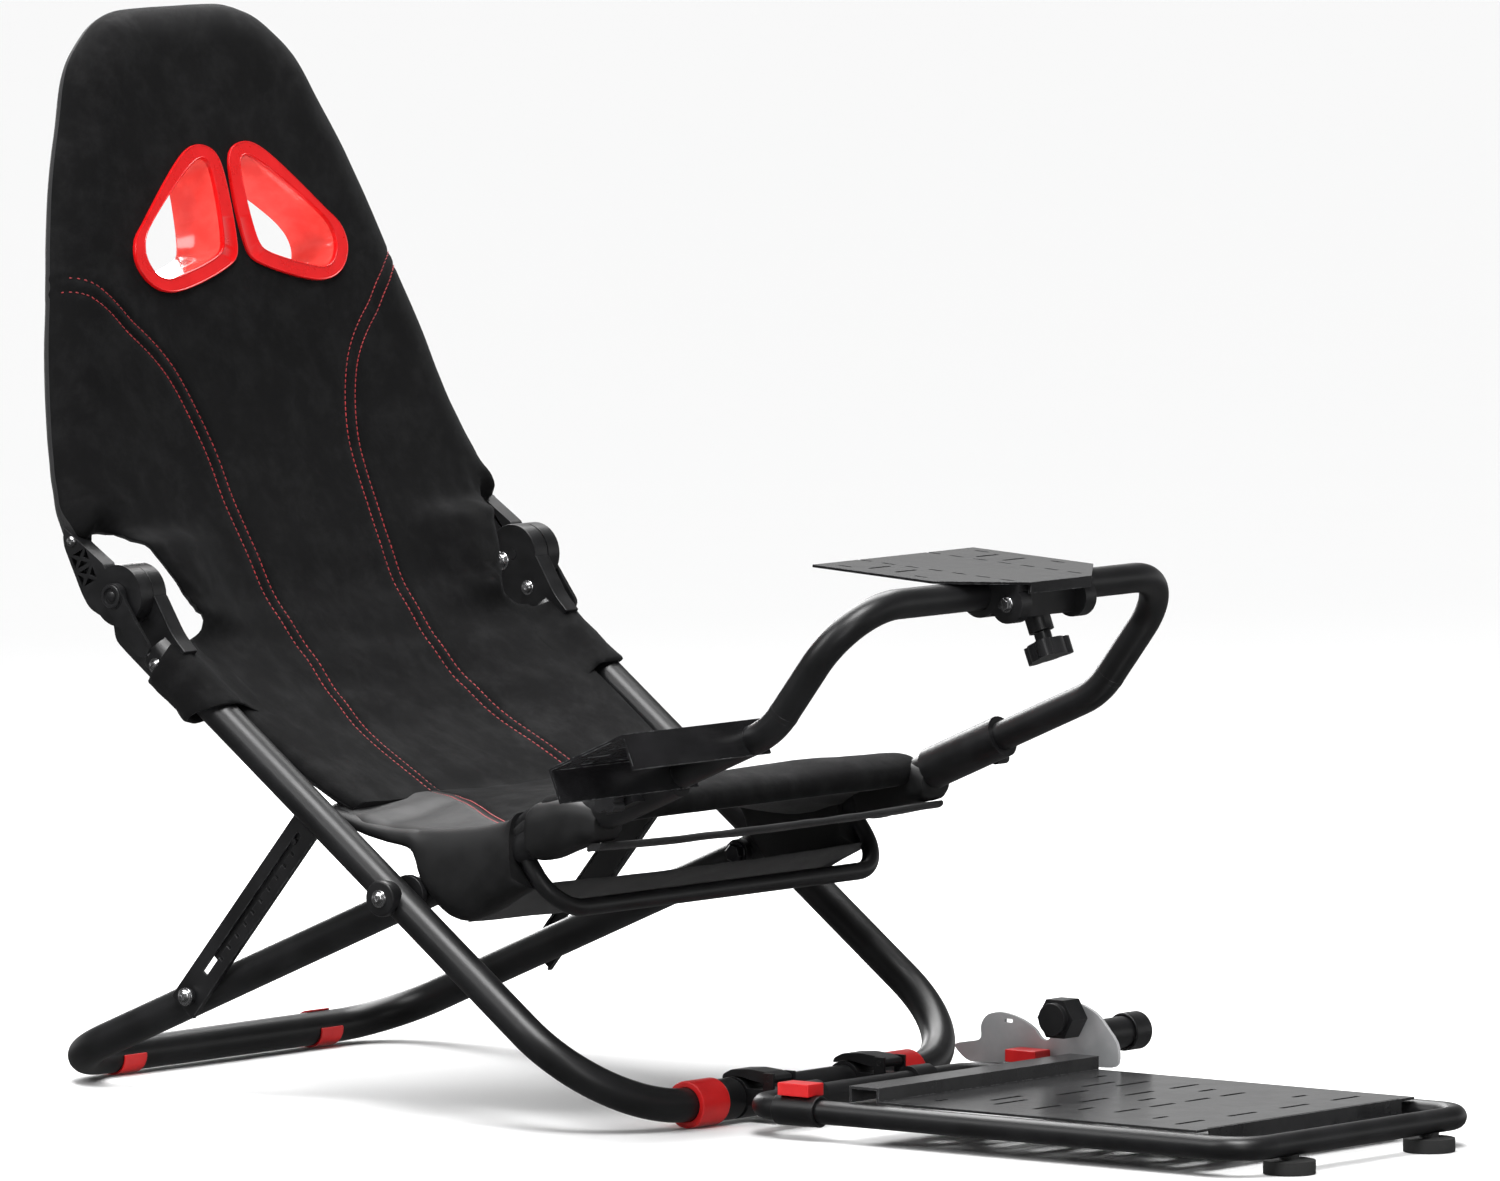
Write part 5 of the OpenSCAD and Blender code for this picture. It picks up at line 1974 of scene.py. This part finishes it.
@dataclass(frozen=True)
class Studio:
    """A white floor, soft lights and the camera at the photo's angle."""

    azimuth: float = 38.0
    elevation: float = 4.9
    distance: float = 16.0
    lens: float = 412.3
    # Brightness that glosses see below, at the horizon and on the walls, the share of it on the near side, and
    # the even light's power
    below: float = 0.12
    horizon: float = 0.65
    walls: float = 0.10
    near: float = 0.3
    even: float = 3.3
    # What the camera and the soft boxes look at
    target: tuple[float, float, float] = (-0.0025, 0.055, 0.4845)
    aim: tuple[float, float, float] = (0, 0.05, 0.45)
    # Soft boxes: name, place, width and height, power
    boxes: tuple[tuple[str, tuple[float, float, float], Point2, float], ...] = (
        ("key_box", (-1.4, -2.8, 2.6), (1.6, 2.0), 50), ("top_box", (-1.3, 1.0, 2.6), (2.4, 2.0), 110),
        ("rim_box", (-2.6, 1.9, 1.6), (0.8, 2.2), 45), ("front_strip", (2.6, -2.2, 1.7), (0.5, 2.4), 18))

    def build(self) -> None:
        """Sets up floor, backdrop, lights and camera."""
        self.floor()
        self.room()
        self.lights()
        self.camera()

    def floor(self) -> None:
        """Lays a wide white floor."""
        bm = bmesh.new()
        bmesh.ops.create_circle(bm, cap_ends=True, radius=90.0, segments=96)
        floor = stand("floor", mesh_from(bm, "floor"))
        made = bpy.data.materials.new("studio_floor")
        made.use_nodes = True
        shader = made.node_tree.nodes["Principled BSDF"]
        shader.inputs["Base Color"].default_value = (0.93, 0.93, 0.93, 1)
        shader.inputs["Roughness"].default_value = 0.9
        shader.inputs["Specular IOR Level"].default_value = 0.1
        floor.data.materials.append(made)
        floor.visible_glossy = False

    def room(self) -> None:
        """Surrounds the cockpit with a white backdrop that glosses see as a dim room with a bright horizon."""
        world = bpy.data.worlds.new("studio")
        bpy.context.scene.world = world
        world.use_nodes = True
        sheet = NodeSheet(world.node_tree)
        way = sheet.add("ShaderNodeTexCoord").outputs["Generated"]
        axes = sheet.add("ShaderNodeSeparateXYZ", None, Vector=way).outputs
        height, side = axes["Z"], axes["Y"]
        low = sheet.ramp(height, -0.12, 0.03, self.below, self.horizon)
        high = sheet.ramp(height, 0.06, 0.34, 0.0, self.walls - self.horizon)
        dim = sheet.math("MULTIPLY", sheet.math("ADD", low, high), sheet.ramp(side, -0.35, 0.45, self.near, 1.0))
        seen = sheet.add("ShaderNodeLightPath").outputs["Is Camera Ray"]
        power = sheet.add("ShaderNodeMix", {"data_type": "FLOAT"}, _0=seen, _2=dim, _3=1.02).outputs[0]
        back = sheet.add("ShaderNodeBackground", None, Color=(1, 1, 1, 1), Strength=power)
        sheet.add("ShaderNodeOutputWorld", None, Surface=back.outputs[0])

    def lights(self) -> None:
        """Hangs soft boxes over and beside the cockpit, and a wide even light from above."""
        scene = bpy.context.scene
        for name, place, size, power in self.boxes:
            lamp = bpy.data.lights.new(name, "AREA")
            lamp.shape = "RECTANGLE"
            lamp.size, lamp.size_y = size
            lamp.energy = power
            box = stand(name, lamp)
            box.location = place
            box.rotation_euler = (Vector(self.aim) - Vector(place)).to_track_quat("-Z", "Y").to_euler()
        lamp = bpy.data.lights.new("even_light", "SUN")
        lamp.energy = self.even
        lamp.angle = math.radians(28)
        box = stand("even_light", lamp)
        box.rotation_euler = Vector((-0.25, 0.35, -1.0)).to_track_quat("-Z", "Y").to_euler()
        scene.view_settings.view_transform = "Standard"
        scene.view_settings.look = "None"

    def camera(self) -> None:
        """Places the camera at the photo's angle."""
        ca, sa = unit(self.azimuth)
        ce, se = unit(self.elevation)
        data = bpy.data.cameras.new("camera")
        data.lens = self.lens
        data.sensor_width = 36.0
        data.clip_end = 300.0
        eye = stand("camera", data)
        away = Vector((sa * ce, -ca * ce, se))
        eye.location = Vector(self.target) + away * self.distance
        eye.rotation_euler = (-away).to_track_quat("-Z", "Y").to_euler()
        bpy.context.scene.camera = eye


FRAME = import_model()


def main() -> None:
    """Builds the studio and every sub-assembly in order."""
    logging.basicConfig(level=logging.INFO, format="%(message)s")
    Studio().build()
    seat = SlingSeat()
    seat.build_back()
    seat.sew()
    seat.build_windows()
    seat.build_sleeves()
    seat.build_seat()
    for assembly in (Frames(), ReclineHinges(), WheelStand(), PedalDeck()):
        assembly.build()
    for helper in HELPERS:
        bpy.data.objects.remove(helper)
    HELPERS.clear()


if __name__ == "__main__":
    main()
